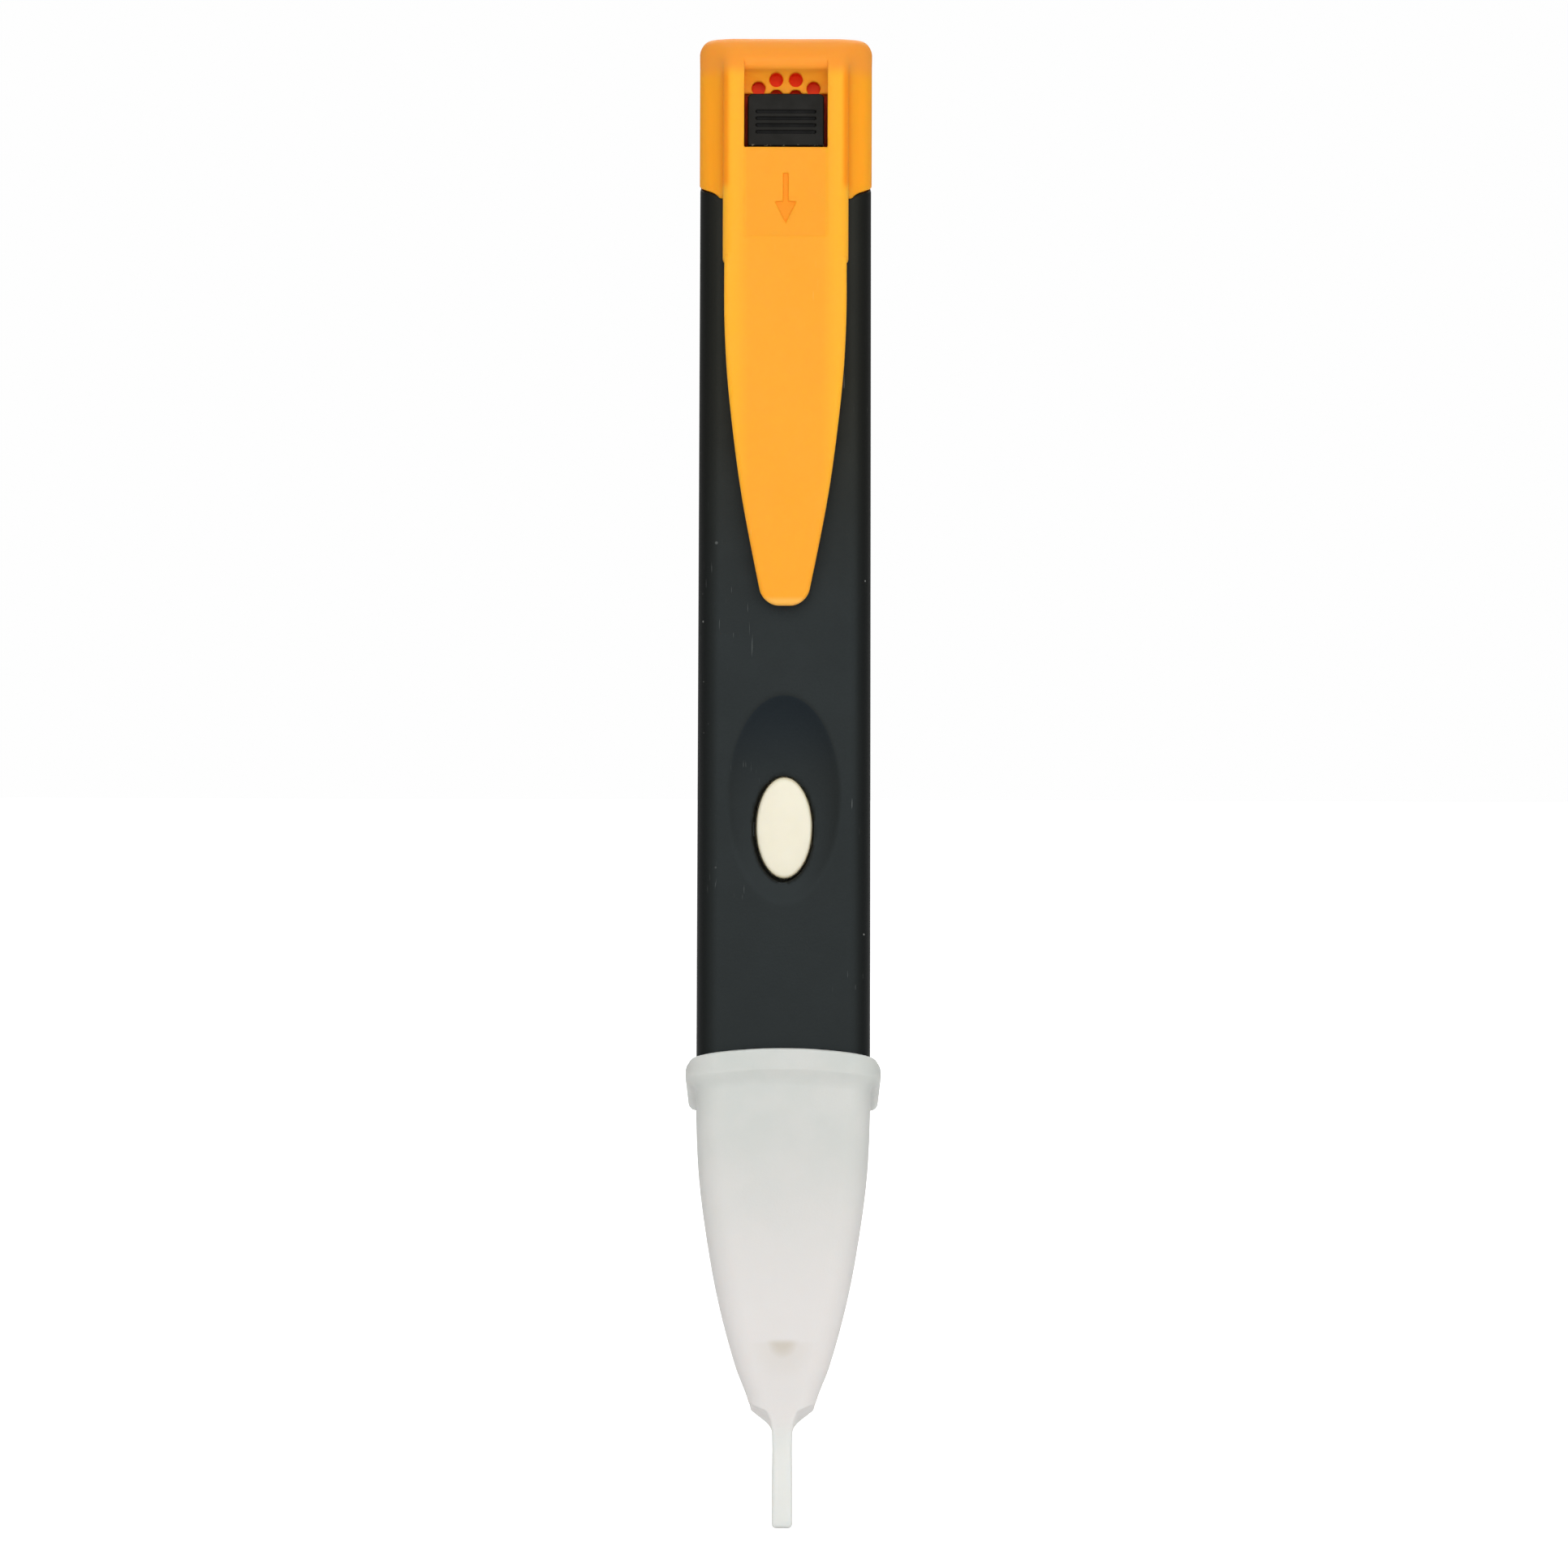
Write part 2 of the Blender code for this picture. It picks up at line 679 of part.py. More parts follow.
def build_switch_plunger(parent):
    profile = (
        (PLUNGER_RADIUS, PLUNGER_Y[1]),
        (PLUNGER_RADIUS, PLUNGER_Y[0] + 0.2),
        (PLUNGER_RADIUS - 0.2, PLUNGER_Y[0]),
    )
    turned("switch_plunger", profile, (0, BUTTON_Z), "y", black_plastic(), 20, parent=parent)


def build_switch():
    half = SWITCH_HALF
    base_front = -5.2
    base = box("switch_base", (-half, base_front, BUTTON_Z - half),
               (half, BOARD_Y[0] - GAP, BUTTON_Z + half), black_plastic())
    bore = PLUNGER_RADIUS + 0.15
    well = ((bore, base_front - 1), (bore, -3.3))
    subtract(base, turned("plunger_well", well, (0, BUTTON_Z), "y", black_plastic(), 20))
    cover_y = (base_front - GAP - 0.3, base_front - GAP)
    cover = box("switch_cover", (0.1 - half, cover_y[0], BUTTON_Z - half + 0.1),
                (half - 0.1, cover_y[1], BUTTON_Z + half - 0.1), nickel())
    mouth = ((bore, cover_y[0] - 1), (bore, cover_y[1] + 1))
    subtract(cover, turned("cover_mouth", mouth, (0, BUTTON_Z), "y", nickel(), 20))


# ---------------------------------------------------------------- board, chassis, lamp, sensor

def build_circuit_board():
    low, shoulder, high = BOARD_Z
    outline = (
        (-BOARD_NECK_HALF_WIDTH, low), (BOARD_NECK_HALF_WIDTH, low),
        (BOARD_NECK_HALF_WIDTH, shoulder), (BOARD_HALF_WIDTH, shoulder + 1.5),
        (BOARD_HALF_WIDTH, high), (-BOARD_HALF_WIDTH, high),
        (-BOARD_HALF_WIDTH, shoulder + 1.5), (-BOARD_NECK_HALF_WIDTH, shoulder),
    )
    loops = [[(x, y, z) for x, z in outline] for y in BOARD_Y]
    solid("circuit_board", loft_mesh(loops), board_green())


def board_part(name, x, z, size, look):
    """Box-shaped component on the board's front; size is (x, height off the board, z)."""
    seat = BOARD_Y[0] - GAP
    low = (x - size[0] / 2, seat - size[1], z - size[2] / 2)
    high = (x + size[0] / 2, seat, z + size[2] / 2)
    part = box(name, low, high, look)
    bevel(part, 0.12, 1)


def build_board_parts():
    board_part("control_chip", 0.0, 62.5, (4.0, 1.5, 5.0), black_plastic())
    board_part("amplifier_transistor", -2.4, 50.0, (1.4, 1.0, 2.9), black_plastic())
    board_part("filter_capacitor", 2.2, 50.0, (1.6, 1.2, 3.2), ceramic())
    board_part("timing_capacitor", 3.9, 69.0, (1.3, 0.9, 2.0), ceramic())
    for k in range(4):
        x = -3.6 + 2.4 * k
        board_part(f"resistor_{k + 1}", x, 85.0, (1.25, 0.5, 2.0), black_plastic())


def build_chassis():
    plate = box("chassis", (-5.4, CHASSIS_Y[0], 33.0), (5.4, CHASSIS_Y[1], 93.5), black_plastic())
    head_low = (-INNER_HALF_WIDTH + GAP, -INNER_HALF_DEPTH + GAP + 0.1, BAY_FLOOR - 1.0)
    head_high = (INNER_HALF_WIDTH - GAP, INNER_HALF_DEPTH - GAP - 0.1, BAY_FLOOR)
    head = box("bulkhead", head_low, head_high, black_plastic())
    bevel(head, 1.5, 3)
    unite(plate, head)
    seat = box("contact_seat", (-2.6, 2.6, BAY_FLOOR - 0.5), (2.6, 8.2, 96.9), black_plastic())
    unite(plate, seat)
    for side in (-1, 1):
        rib_x = sorted((side * 3.6, side * 4.8))
        rib_low = (rib_x[0], CHASSIS_Y[1] - 0.4, 60.0)
        rib_high = (rib_x[1], INNER_HALF_DEPTH - GAP, BAY_FLOOR - 0.6)
        unite(plate, box(f"chassis_rib_{side}", rib_low, rib_high, black_plastic()))
        slot_x = sorted((side * 5.7, side * 6.6))
        slot_low = (slot_x[0], -1.5, BAY_FLOOR - 2)
        slot_high = (slot_x[1], 1.5, BAY_FLOOR + 1)
        subtract(plate, box(f"strip_slot_{side}", slot_low, slot_high, black_plastic()))


def build_lamp():
    centre = (0, LED_Y)
    dome = LED_TIP_Z + LED_RADIUS
    profile = [(0.15, LED_TIP_Z)]
    for angle in (25, 50, 70, 90):
        turn = math.radians(angle)
        profile.append((LED_RADIUS * math.sin(turn), dome - LED_RADIUS * math.cos(turn)))
    profile += [(LED_RADIUS, 23.3), (1.9, 23.3), (1.9, 24.3)]
    turned("led_lens", profile, centre, "z", lamp_red(), 20)
    half = LED_LEAD_SIDE / 2
    for name, side in (("led_lead_front", -1), ("led_lead_rear", 1)):
        y = LED_Y + side * LED_LEAD_PITCH / 2
        box(name, (-half, y - half, 24.3 + GAP), (half, y + half, 31.5), nickel())


def build_sensor():
    box("sensor_strip", (-0.15, -1.6, 2.4), (0.15, 1.6, 15.6), brass())
    route = ((0.0, 1.0, 16.2), (0.3, 1.9, 18.0), (1.2, 2.6, 21.0), (2.2, 2.4, 25.0),
             (2.6, 1.3, 28.5), (2.6, 0.2, 31.0))
    wire("sensor_wire", route, 0.3, brass())


# ---------------------------------------------------------------- cells and contacts

def build_cell(name, y, nub_up, parent):
    low, high = CELL_Z
    shoulder = NUB_HEIGHT
    if nub_up:
        ends = (low, high, -1)
    else:
        ends = (high, low, 1)
    flat, tip, sign = ends
    profile = [
        (CELL_RADIUS - 0.4, flat),
        (CELL_RADIUS, flat - sign * 0.4),
        (CELL_RADIUS, tip + sign * (shoulder + 0.4)),
        (CELL_RADIUS - 0.4, tip + sign * shoulder),
        (NUB_RADIUS, tip + sign * shoulder),
        (NUB_RADIUS, tip),
    ]
    turned(name, profile, (0, y), "z", nickel(), CELL_SIDES, parent=parent)
    inner, outer = SLEEVE_RADII
    ends = sorted((flat - sign * 0.5, tip + sign * (shoulder + 0.5)))
    skin = [(inner, ends[0]), (outer, ends[0]), (outer, ends[1]), (inner, ends[1])]
    look = sleeve_blue()
    turned(f"{name}_sleeve", skin, (0, y), "z", look, CELL_SIDES, closed=True, parent=parent)


def build_bay_contacts():
    points = coil(-CELL_OFFSET, BAY_FLOOR + GAP + 0.25, CELL_Z[0] - GAP - 0.25, 3.6, 2.2, 4)
    wire("negative_spring", points, 0.25, nickel())
    seat = 96.9 + GAP
    box("positive_contact", (-2.3, 3.0, seat), (2.3, 7.8, CELL_Z[0] - GAP), nickel())


def build_cap_contacts(parent):
    plate_z = (145.8, 146.2)
    plate = box("bridge_plate", (-3.4, -8.4, plate_z[0]), (3.4, 8.4, plate_z[1]), nickel(), parent)
    pip = ((1.2, CELL_Z[1] + GAP), (2.0, CELL_Z[1] + GAP + 0.8), (2.4, plate_z[1] - 0.1))
    unite(plate, turned("bridge_pip", pip, (0, -CELL_OFFSET), "z", nickel(), 16))
    points = coil(CELL_OFFSET, CELL_Z[1] + GAP + 0.25, plate_z[0] - GAP - 0.25, 2.2, 3.6, 4)
    wire("bridge_spring", points, 0.25, nickel(), parent)
    floor = plate_z[1] + GAP
    carrier = box("bridge_carrier", (-4.9, -8.4, floor), (4.9, 10.4, floor + 1.2),
                  black_plastic(), parent)
    post_high = (4.2, 6.2, CAP_CEILING - GAP)
    unite(carrier, box("carrier_post", (-4.2, 2.2, floor + 0.6), post_high, black_plastic()))


def build_sounder(parent):
    centre = (0, GRILLE_CENTRE_Z)
    ring = ((5.75, -10.5), (6.4, -10.5), (6.4, -8.9), (5.75, -8.9))
    turned("sounder_ring", ring, centre, "y", black_plastic(), 32, closed=True, parent=parent)
    disc = ((5.45, -10.2), (5.45, -9.9))
    turned("sounder_plate", disc, centre, "y", brass(), 32, parent=parent)
    chip = ((4.2, -9.6), (4.2, -9.3))
    turned("sounder_ceramic", chip, centre, "y", ceramic(), 28, parent=parent)
    outline = ((-1.0, 144.0), (1.0, 144.0), (1.0, 151.0), (-8.6, 151.0), (-8.6, 149.4), (-1.0, 149.4))
    for name, side in (("sounder_leaf_left", -1), ("sounder_leaf_right", 1)):
        loops = [[(x, y, z) for y, z in outline] for x in (side * 5.45, side * 5.7)]
        solid(name, loft_mesh(loops), brass(), parent)


def build_feed_strips():
    for name, side in (("feed_strip_left", -1), ("feed_strip_right", 1)):
        low_x, high_x = sorted((side * 6.0, side * 6.3))
        box(name, (low_x, -1.2, 86.0), (high_x, 1.2, 147.5), brass())


# ---------------------------------------------------------------- whole object

def clear_scene():
    for old in list(bpy.data.objects):
        bpy.data.objects.remove(old, do_unlink=True)


def build():
    clear_scene()
    cap_axis = axis_empty("cap_slide_axis", (0, 0, JOINT_LEVEL))
    clip_axis = axis_empty("clip_flex_axis", (0, -HALF_DEPTH - 2.4, BLOCK_BOTTOM))
    latch_axis = axis_empty("latch_press_axis", LATCH_PIVOT)
    button_axis = axis_empty("button_press_axis", (0, BUTTON_FACE, BUTTON_Z))
    plunger_axis = axis_empty("plunger_press_axis", (0, PLUNGER_Y[0], BUTTON_Z))
    cell_axis = axis_empty("cells_slide_axis", (0, 0, CELL_Z[1]))

    build_body_shell()
    build_nose_cone()
    build_end_cap(cap_axis)
    build_pocket_clip(clip_axis)
    build_latch_tongue(latch_axis)
    build_button_cap(button_axis)
    build_switch_plunger(plunger_axis)
    build_switch()
    build_circuit_board()
    build_board_parts()
    build_chassis()
    build_lamp()
    build_sensor()
    build_cell("cell_front", -CELL_OFFSET, True, cell_axis)
    build_cell("cell_rear", CELL_OFFSET, False, cell_axis)
    build_bay_contacts()
    build_cap_contacts(cap_axis)
    build_sounder(cap_axis)
    build_feed_strips()


build()
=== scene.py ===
"""Looks for the pen-shaped non-contact voltage tester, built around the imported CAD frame.

Shapes are written in millimetres as signed fields (negative inside), skinned into meshes and
turned into metres. +Z runs from the blade to the cap, -Y is the front, +X the viewer's right.
"""

import math

import bpy
import numpy as np
from mathutils import Matrix, Vector


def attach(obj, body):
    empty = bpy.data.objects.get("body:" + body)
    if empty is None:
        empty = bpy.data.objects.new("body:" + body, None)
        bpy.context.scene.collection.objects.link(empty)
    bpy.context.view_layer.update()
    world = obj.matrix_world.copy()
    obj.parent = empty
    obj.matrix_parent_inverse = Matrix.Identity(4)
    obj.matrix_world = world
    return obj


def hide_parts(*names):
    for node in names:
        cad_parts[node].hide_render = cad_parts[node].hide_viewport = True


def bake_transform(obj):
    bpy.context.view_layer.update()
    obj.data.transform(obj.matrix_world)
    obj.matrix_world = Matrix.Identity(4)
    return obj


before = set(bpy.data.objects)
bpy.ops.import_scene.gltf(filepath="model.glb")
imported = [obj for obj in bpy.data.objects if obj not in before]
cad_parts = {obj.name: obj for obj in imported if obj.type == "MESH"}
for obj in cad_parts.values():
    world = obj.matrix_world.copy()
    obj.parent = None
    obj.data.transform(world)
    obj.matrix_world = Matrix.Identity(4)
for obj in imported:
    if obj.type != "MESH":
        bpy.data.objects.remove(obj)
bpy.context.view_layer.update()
COARSE = 1.0
MM = 0.001

# ---------------------------------------------------------------- sizes, all in millimetres

HALF_DEPTH = 12.2
BODY_HALF_WIDTH = (9.31, 9.14)        # at the collar and at the cap
CORNER = 2.4
HOLLOW = (8.2, 11.1, 1.5)             # inside: half width, back, corner radius
BAY_FLOOR = 93.6
TUNNEL_TOP = 93.8                     # the narrower space below the bay, behind a thicker wall
COLLAR = (50.0, -0.18, -0.009)        # level, slope along y, crown along x
JOINT = (145.1, 0.15)                 # level, slope along y
JOINT_GAP = 0.04                      # on either side of the joint's level
CAP_HALF_WIDTH = 9.2
CAP_TOP = 160
CAP_CEILING = 158.6                   # inside
BLOCK_HALF_WIDTH = 6.68
BLOCK_FRONT = -15.4
BLOCK_BOTTOM = 136
BLOCK_SLOPE_Z = 157.2                 # here the slope at the top meets the block's front
CHANNEL = 4.44                        # half width of the window and of the clip's groove
GROOVE_FLOOR = BLOCK_FRONT + 0.62
WINDOW_BOTTOM = 148.17
TAB_FLOOR = -11.9                     # floor of the window behind the tab
STEP_FLOOR = -12.9                    # and above the tab, where it steps forward
STEP_Z = 154.05
RAMP_Z = 155.85
GRILLE_Z = 150.94
GRILLE_RINGS = ((14, 4.7), (9, 3.0))  # number of holes, ring radius
GRILLE_HOLE = 0.735                   # radius
TAB_HALF_WIDTH = 4.07
TAB_Z = (148.33, 153.9)
TAB_FRONT = -14.5
TAB_BACK = -13.1
TONGUE_FRONT = -14.0
TONGUE_BOTTOM = 138.5
GRIP_GROOVES = (149.85, 0.72, 4)      # lowest, spacing, number
CELL_Z = (98.0, 142.5)
CELL_Y = 5.4

# ovals on the front: centre x and z, half width, half height
BUTTON = (0.03, 75.82, 2.97, 5.39)
BUTTON_HOLE = (-0.07, 75.7, 3.26, 5.64)
BUTTON_LIP = (0.03, 75.82, 3.1, 5.52)
BUTTON_FLANGE = (0, 75.86, 4.25, 6.55)
DIMPLE = (0, 78.94, 6.06, 11.13)
DIMPLE_DEPTH = 0.95
DIMPLE_ROUNDNESS = 2.8                # half axis of the dimple's ellipsoid across the wall
LAMP = (0, 20.6, 1.75, 2.1)


# ---------------------------------------------------------------- signed fields

def edge(a, b, radius):
    """Where both fields are inside, with the outer edge between them rounded."""
    u = np.maximum(a + radius, 0)
    v = np.maximum(b + radius, 0)
    return np.minimum(np.maximum(a, b), -radius) + np.hypot(u, v)


def fillet(a, b, radius):
    """Where either field is inside, with the inner corner between them filled."""
    return -edge(-a, -b, radius)


def cut(a, b, radius):
    """The first field without the second, with the rim rounded."""
    return edge(a, -b, radius)


def slab(value, low, high):
    return np.maximum(low - value, value - high)


def curve(level, rows):
    """Smooth line through (level, value) rows, flat beyond both ends."""
    rows = np.array(sorted(rows), float)
    z, v = rows[:, 0], rows[:, 1]
    slope = np.gradient(v, z)
    level = np.clip(level, z[0], z[-1])
    i = np.clip(np.searchsorted(z, level, "right") - 1, 0, len(z) - 2)
    h = z[i + 1] - z[i]
    t = (level - z[i]) / h
    start = (1 + 2 * t) * (1 - t) ** 2 * v[i] + t * (1 - t) ** 2 * h * slope[i]
    return start + t * t * (3 - 2 * t) * v[i + 1] + t * t * (t - 1) * h * slope[i + 1]


def smooth_share(value, low, high):
    t = np.clip((value - low) / (high - low), 0, 1)
    return t * t * (3 - 2 * t)


# ---------------------------------------------------------------- skin over a field

def lines(*spans):
    """Grid lines from (start, end, step) spans that follow each other."""
    found = [spans[0][0]]
    for low, high, step in spans:
        count = max(int(round((high - low) / (step * COARSE))), 1)
        found += list(np.linspace(low, high, count + 1)[1:])
    return np.array(found)


def mirrored(*spans):
    half = lines(*spans)
    return np.concatenate([-half[:0:-1], half])


def settle(shape, points, reach):
    """Moves points onto the field's surface along its slope."""
    h = 0.004
    for _ in range(5):
        x, y, z = points.T
        value = shape(x, y, z)
        slope = np.stack([
            shape(x + h, y, z) - shape(x - h, y, z),
            shape(x, y + h, z) - shape(x, y - h, z),
            shape(x, y, z + h) - shape(x, y, z - h),
        ], 1) / (2 * h)
        scale = value / np.maximum((slope ** 2).sum(1), 0.05)
        move = slope * scale[:, None]
        length = np.maximum(np.linalg.norm(move, axis=1), 1e-9)
        points = points - move * np.minimum(1, reach / length)[:, None]
    return points


def add_mesh(name, points, faces):
    mesh = bpy.data.meshes.new(name)
    mesh.from_pydata(points, [], faces)
    made = bpy.data.objects.new(name, mesh)
    bpy.context.scene.collection.objects.link(made)
    return made


def cell_points(field, axes, cells):
    """Middle of the places where each cell's edges cross the surface."""
    total = np.zeros((len(cells), 3))
    hits = np.zeros(len(cells))
    for axis in range(3):
        for a in (0, 1):
            for b in (0, 1):
                start = cells.copy()
                start[:, (axis + 1) % 3] += a
                start[:, (axis + 2) % 3] += b
                end = start.copy()
                end[:, axis] += 1
                f0 = field[tuple(start.T)]
                f1 = field[tuple(end.T)]
                crossed = (f0 < 0) != (f1 < 0)
                share = np.where(crossed, f0 / np.where(crossed, f0 - f1, 1), 0)
                here = np.stack([axes[d][start[:, d]] for d in range(3)], 1)
                there = np.stack([axes[d][end[:, d]] for d in range(3)], 1)
                place = here + (there - here) * share[:, None]
                total[crossed] += place[crossed]
                hits[crossed] += 1
    return total / hits[:, None]


def cell_faces(inside, index, size):
    """A quad around each grid edge that crosses the surface, turned outward."""
    faces = []
    for axis in range(3):
        b, c = (axis + 1) % 3, (axis + 2) % 3
        low = [slice(None)] * 3
        high = [slice(None)] * 3
        low[axis] = slice(0, -1)
        high[axis] = slice(1, None)
        here = inside[tuple(low)]
        there = inside[tuple(high)]
        spots = np.argwhere(here != there)
        good = (spots[:, b] > 0) & (spots[:, b] < size[b])
        good &= (spots[:, c] > 0) & (spots[:, c] < size[c])
        spots = spots[good]
        outward = here[tuple(spots.T)]
        corners = []
        for db, dc in ((-1, -1), (0, -1), (0, 0), (-1, 0)):
            cell = spots.copy()
            cell[:, b] += db
            cell[:, c] += dc
            corners.append(index[tuple(cell.T)])
        quads = np.stack(corners, 1)
        quads[~outward] = quads[~outward][:, ::-1]
        faces.append(quads)
    return np.concatenate(faces)


def skin(name, shape, xs, ys, zs, keep=0.4, reach=0.12):
    """Closed mesh over the field's surface: one point in each crossed cell, then thinned."""
    axes = (xs, ys, zs)
    field = shape(xs[:, None, None], ys[None, :, None], zs[None, None, :])
    field = np.ascontiguousarray(np.broadcast_to(field, [len(a) for a in axes]))
    inside = field < 0
    size = [n - 1 for n in inside.shape]
    count = np.zeros(size, np.int8)
    for i in (0, 1):
        for j in (0, 1):
            for k in (0, 1):
                count += inside[i:i + size[0], j:j + size[1], k:k + size[2]]
    mixed = (count > 0) & (count < 8)
    index = np.full(size, -1)
    index[mixed] = np.arange(mixed.sum())
    points = settle(shape, cell_points(field, axes, np.argwhere(mixed)), reach)
    made = add_mesh(name, (points * MM).tolist(), cell_faces(inside, index, size).tolist())
    thin = made.modifiers.new("thin", "DECIMATE")
    thin.ratio = keep
    bake_modifiers(made)
    finish_normals(made)
    return made


def bake_modifiers(made):
    graph = bpy.context.evaluated_depsgraph_get()
    mesh = bpy.data.meshes.new_from_object(made.evaluated_get(graph))
    made.modifiers.clear()
    made.data = mesh


def finish_normals(made, angle=50):
    made.data.shade_smooth()
    made.data.set_sharp_from_angle(angle=math.radians(angle))
    change = made.modifiers.new("flats", "WEIGHTED_NORMAL")
    change.keep_sharp = True
    change.weight = 60


REST_PLACE = "rest_place"


def store_place(made):
    """Keeps the rest positions as an attribute, so that paint stays put when points move."""
    places = np.empty(len(made.data.vertices) * 3, np.float32)
    made.data.vertices.foreach_get("co", places)
    made.data.attributes.new(REST_PLACE, "FLOAT_VECTOR", "POINT").data.foreach_set("vector", places)


# ---------------------------------------------------------------- shapes

def rounded_box(x, y, half_width, half_depth, radius):
    return edge(np.abs(x) - half_width, np.abs(y) - half_depth, radius)


def hollow(x, y, front):
    """Space inside the barrel or the cap, behind a front wall that ends at y = front."""
    half_width, back, radius = HOLLOW
    return edge(np.abs(x) - half_width, slab(y, front, back), radius)


def oval(x, z, outline):
    """0 at an oval's centre, 1 on its outline."""
    cx, cz, wide, tall = outline
    return np.sqrt(((x - cx) / wide) ** 2 + ((z - cz) / tall) ** 2)


def oval_field(x, z, outline):
    return (oval(x, z, outline) - 1) * outline[2]


def collar_level(x, y):
    return COLLAR[0] + COLLAR[1] * y + COLLAR[2] * x * x


def joint_level(x, y):
    return JOINT[0] + JOINT[1] * y + 0.6 * np.clip((np.abs(x) - 6.9) / 2.2, 0, 1)


def dimple_field(x, y, z):
    """Ellipsoid that dips into the front face by the dimple's depth."""
    _, level, wide, tall = DIMPLE
    lift = DIMPLE_ROUNDNESS - DIMPLE_DEPTH
    spread = math.sqrt(1 - (lift / DIMPLE_ROUNDNESS) ** 2)
    reach = np.sqrt(
        (x * spread / wide) ** 2
        + ((y + HALF_DEPTH + lift) / DIMPLE_ROUNDNESS) ** 2
        + ((z - level) * spread / tall) ** 2
    )
    return (reach - 1) * DIMPLE_ROUNDNESS


def body_field(x, y, z):
    low, high = BODY_HALF_WIDTH
    half = low + (high - low) * np.clip((z - COLLAR[0]) / (JOINT[0] - COLLAR[0]), 0, 1)
    wall = rounded_box(x, y, half, HALF_DEPTH, CORNER)
    wall = edge(wall, z - joint_level(x, y) + JOINT_GAP, 0.3)
    wall = np.maximum(wall, collar_level(x, y) - 0.4 - z)
    wall = cut(wall, dimple_field(x, y, z), 0.06)
    wall = cut(wall, np.maximum(oval_field(x, z, BUTTON_HOLE), y + 10.9), 0.14)
    wall = np.maximum(wall, -np.maximum(oval_field(x, z, BUTTON_LIP), y + 8))
    bay = np.maximum(hollow(x, y, -HOLLOW[1]), BAY_FLOOR - z)
    tunnel = np.maximum(hollow(x, y, -9.9), z - TUNNEL_TOP)
    wall = cut(wall, np.minimum(bay, tunnel), 0.12)
    # guide plates for the cap, and their thicker roots on the side walls
    for inner, outer, top in ((6.7, 7.8, 148), (7.5, 8.6, 141.5)):
        plate = np.maximum(slab(np.abs(x), inner, outer), np.abs(y) - 8.5)
        wall = np.minimum(wall, np.maximum(plate, slab(z, 134, top)))
    return wall


def nose_field(x, y, z):
    half = curve(z, ((51, 9.33), (44.5, 9.31), (38.7, 9.06), (31.6, 8.21), (24.6, 6.96),
                     (17.5, 5.1), (12.6, 3.48), (11.0, 3.4)))
    depth = curve(z, ((51, 12.8), (44.5, 12.55), (38.7, 11.6), (31.6, 9.9), (24.6, 7.95),
                      (17.5, 5.8), (12.6, 4.1), (9.5, 3.36), (4, 3.3)))
    radius = curve(z, ((51, 2.6), (38.7, 3.0), (24.6, 3.0), (17.5, 2.5), (12.6, 1.7), (9.5, 0.5)))
    hull = edge(np.abs(x) - half, np.abs(y) - depth, radius)
    # shoulders above the blade: half widths at the middle and at the front and back
    middle = curve(z, ((14.2, 4.6), (13.4, 4.1), (12.9, 3.75), (12.35, 3.32), (11.7, 2.5),
                       (11.0, 1.63), (10.4, 1.2), (9.7, 1.12), (5, 1.12)))
    front = curve(z, ((14.2, 4.6), (13.7, 3.7), (13.3, 2.8), (12.85, 1.8), (12.2, 1.36),
                      (11.3, 1.17), (10.2, 1.12), (5, 1.12)))
    share = np.clip(np.abs(y) / depth, 0, 1)
    scoop = np.abs(x) - middle - (front - middle) * share - 4 * np.maximum(z - 14, 0)
    round_edge = curve(z, ((13, 0.1), (12, 0.12), (9.5, 0.42), (5, 0.42)))
    hull = edge(hull, scoop, round_edge)
    hull = edge(hull, -z, 0.42)
    # the collar is a rounded ring, softer and lower on the sides that face front and back
    drop = z - collar_level(x, y)
    outside = rounded_box(x, y, BODY_HALF_WIDTH[0], HALF_DEPTH, CORNER)
    flank = smooth_share(np.abs(y), 9.2, 12.6)
    tall = 1.5 - 0.5 * flank
    ring = edge(outside - 1.14, np.abs(drop + tall) - tall, 1.12 - 0.3 * flank)
    whole = np.maximum(fillet(hull, ring, 0.3 + 1.6 * flank), outside - 1.16)
    return edge(whole, drop, 0.25)


def cap_hull(x, y, z):
    """Cap with the raised block in front, which reaches down over the barrel."""
    over_joint = joint_level(x, y) + JOINT_GAP - z
    outer = edge(rounded_box(x, y, CAP_HALF_WIDTH, HALF_DEPTH, CORNER), over_joint, 0.18)
    block = edge(np.abs(x) - BLOCK_HALF_WIDTH, BLOCK_FRONT - y, 1.15)
    slope = ((z - BLOCK_SLOPE_Z) - (y - BLOCK_FRONT)) / math.sqrt(2)
    block = edge(block, slope, 1.3)
    upper = np.maximum(np.maximum(block, y + 11), over_joint)
    lower = edge(np.maximum(block, z - 147), BLOCK_BOTTOM - z, 0.35)
    lower = np.maximum(lower, y + 12.5)
    spread = 1.3 + 1.6 * smooth_share(z, 152.5, 159)
    return np.minimum(edge(fillet(outer, upper, spread), z - CAP_TOP, 1.6), lower)


def arrow_field(x, y, z):
    """Arrow that points down from the tab: a shaft and a triangular head."""
    half, tall, side = 1.165, 2.34, 2.61
    shaft = np.maximum(np.abs(x) - 0.3, slab(z, 142.3, 145.4))
    head = (np.abs(x) * tall + (142.4 - z) * half - tall * half) / side
    head = np.maximum(head, z - 142.4)
    return np.maximum(np.minimum(shaft, head), y - BLOCK_FRONT - 0.36)


def window_field(y, z):
    """Space before the window's floor, which steps forward above the tab, then ramps out."""
    ramp = edge(y - STEP_FLOOR, (z - RAMP_Z) * 0.9 + (y - STEP_FLOOR) * 0.43, 1.2)
    return np.minimum(ramp, np.maximum(y - TAB_FLOOR, z - STEP_Z))


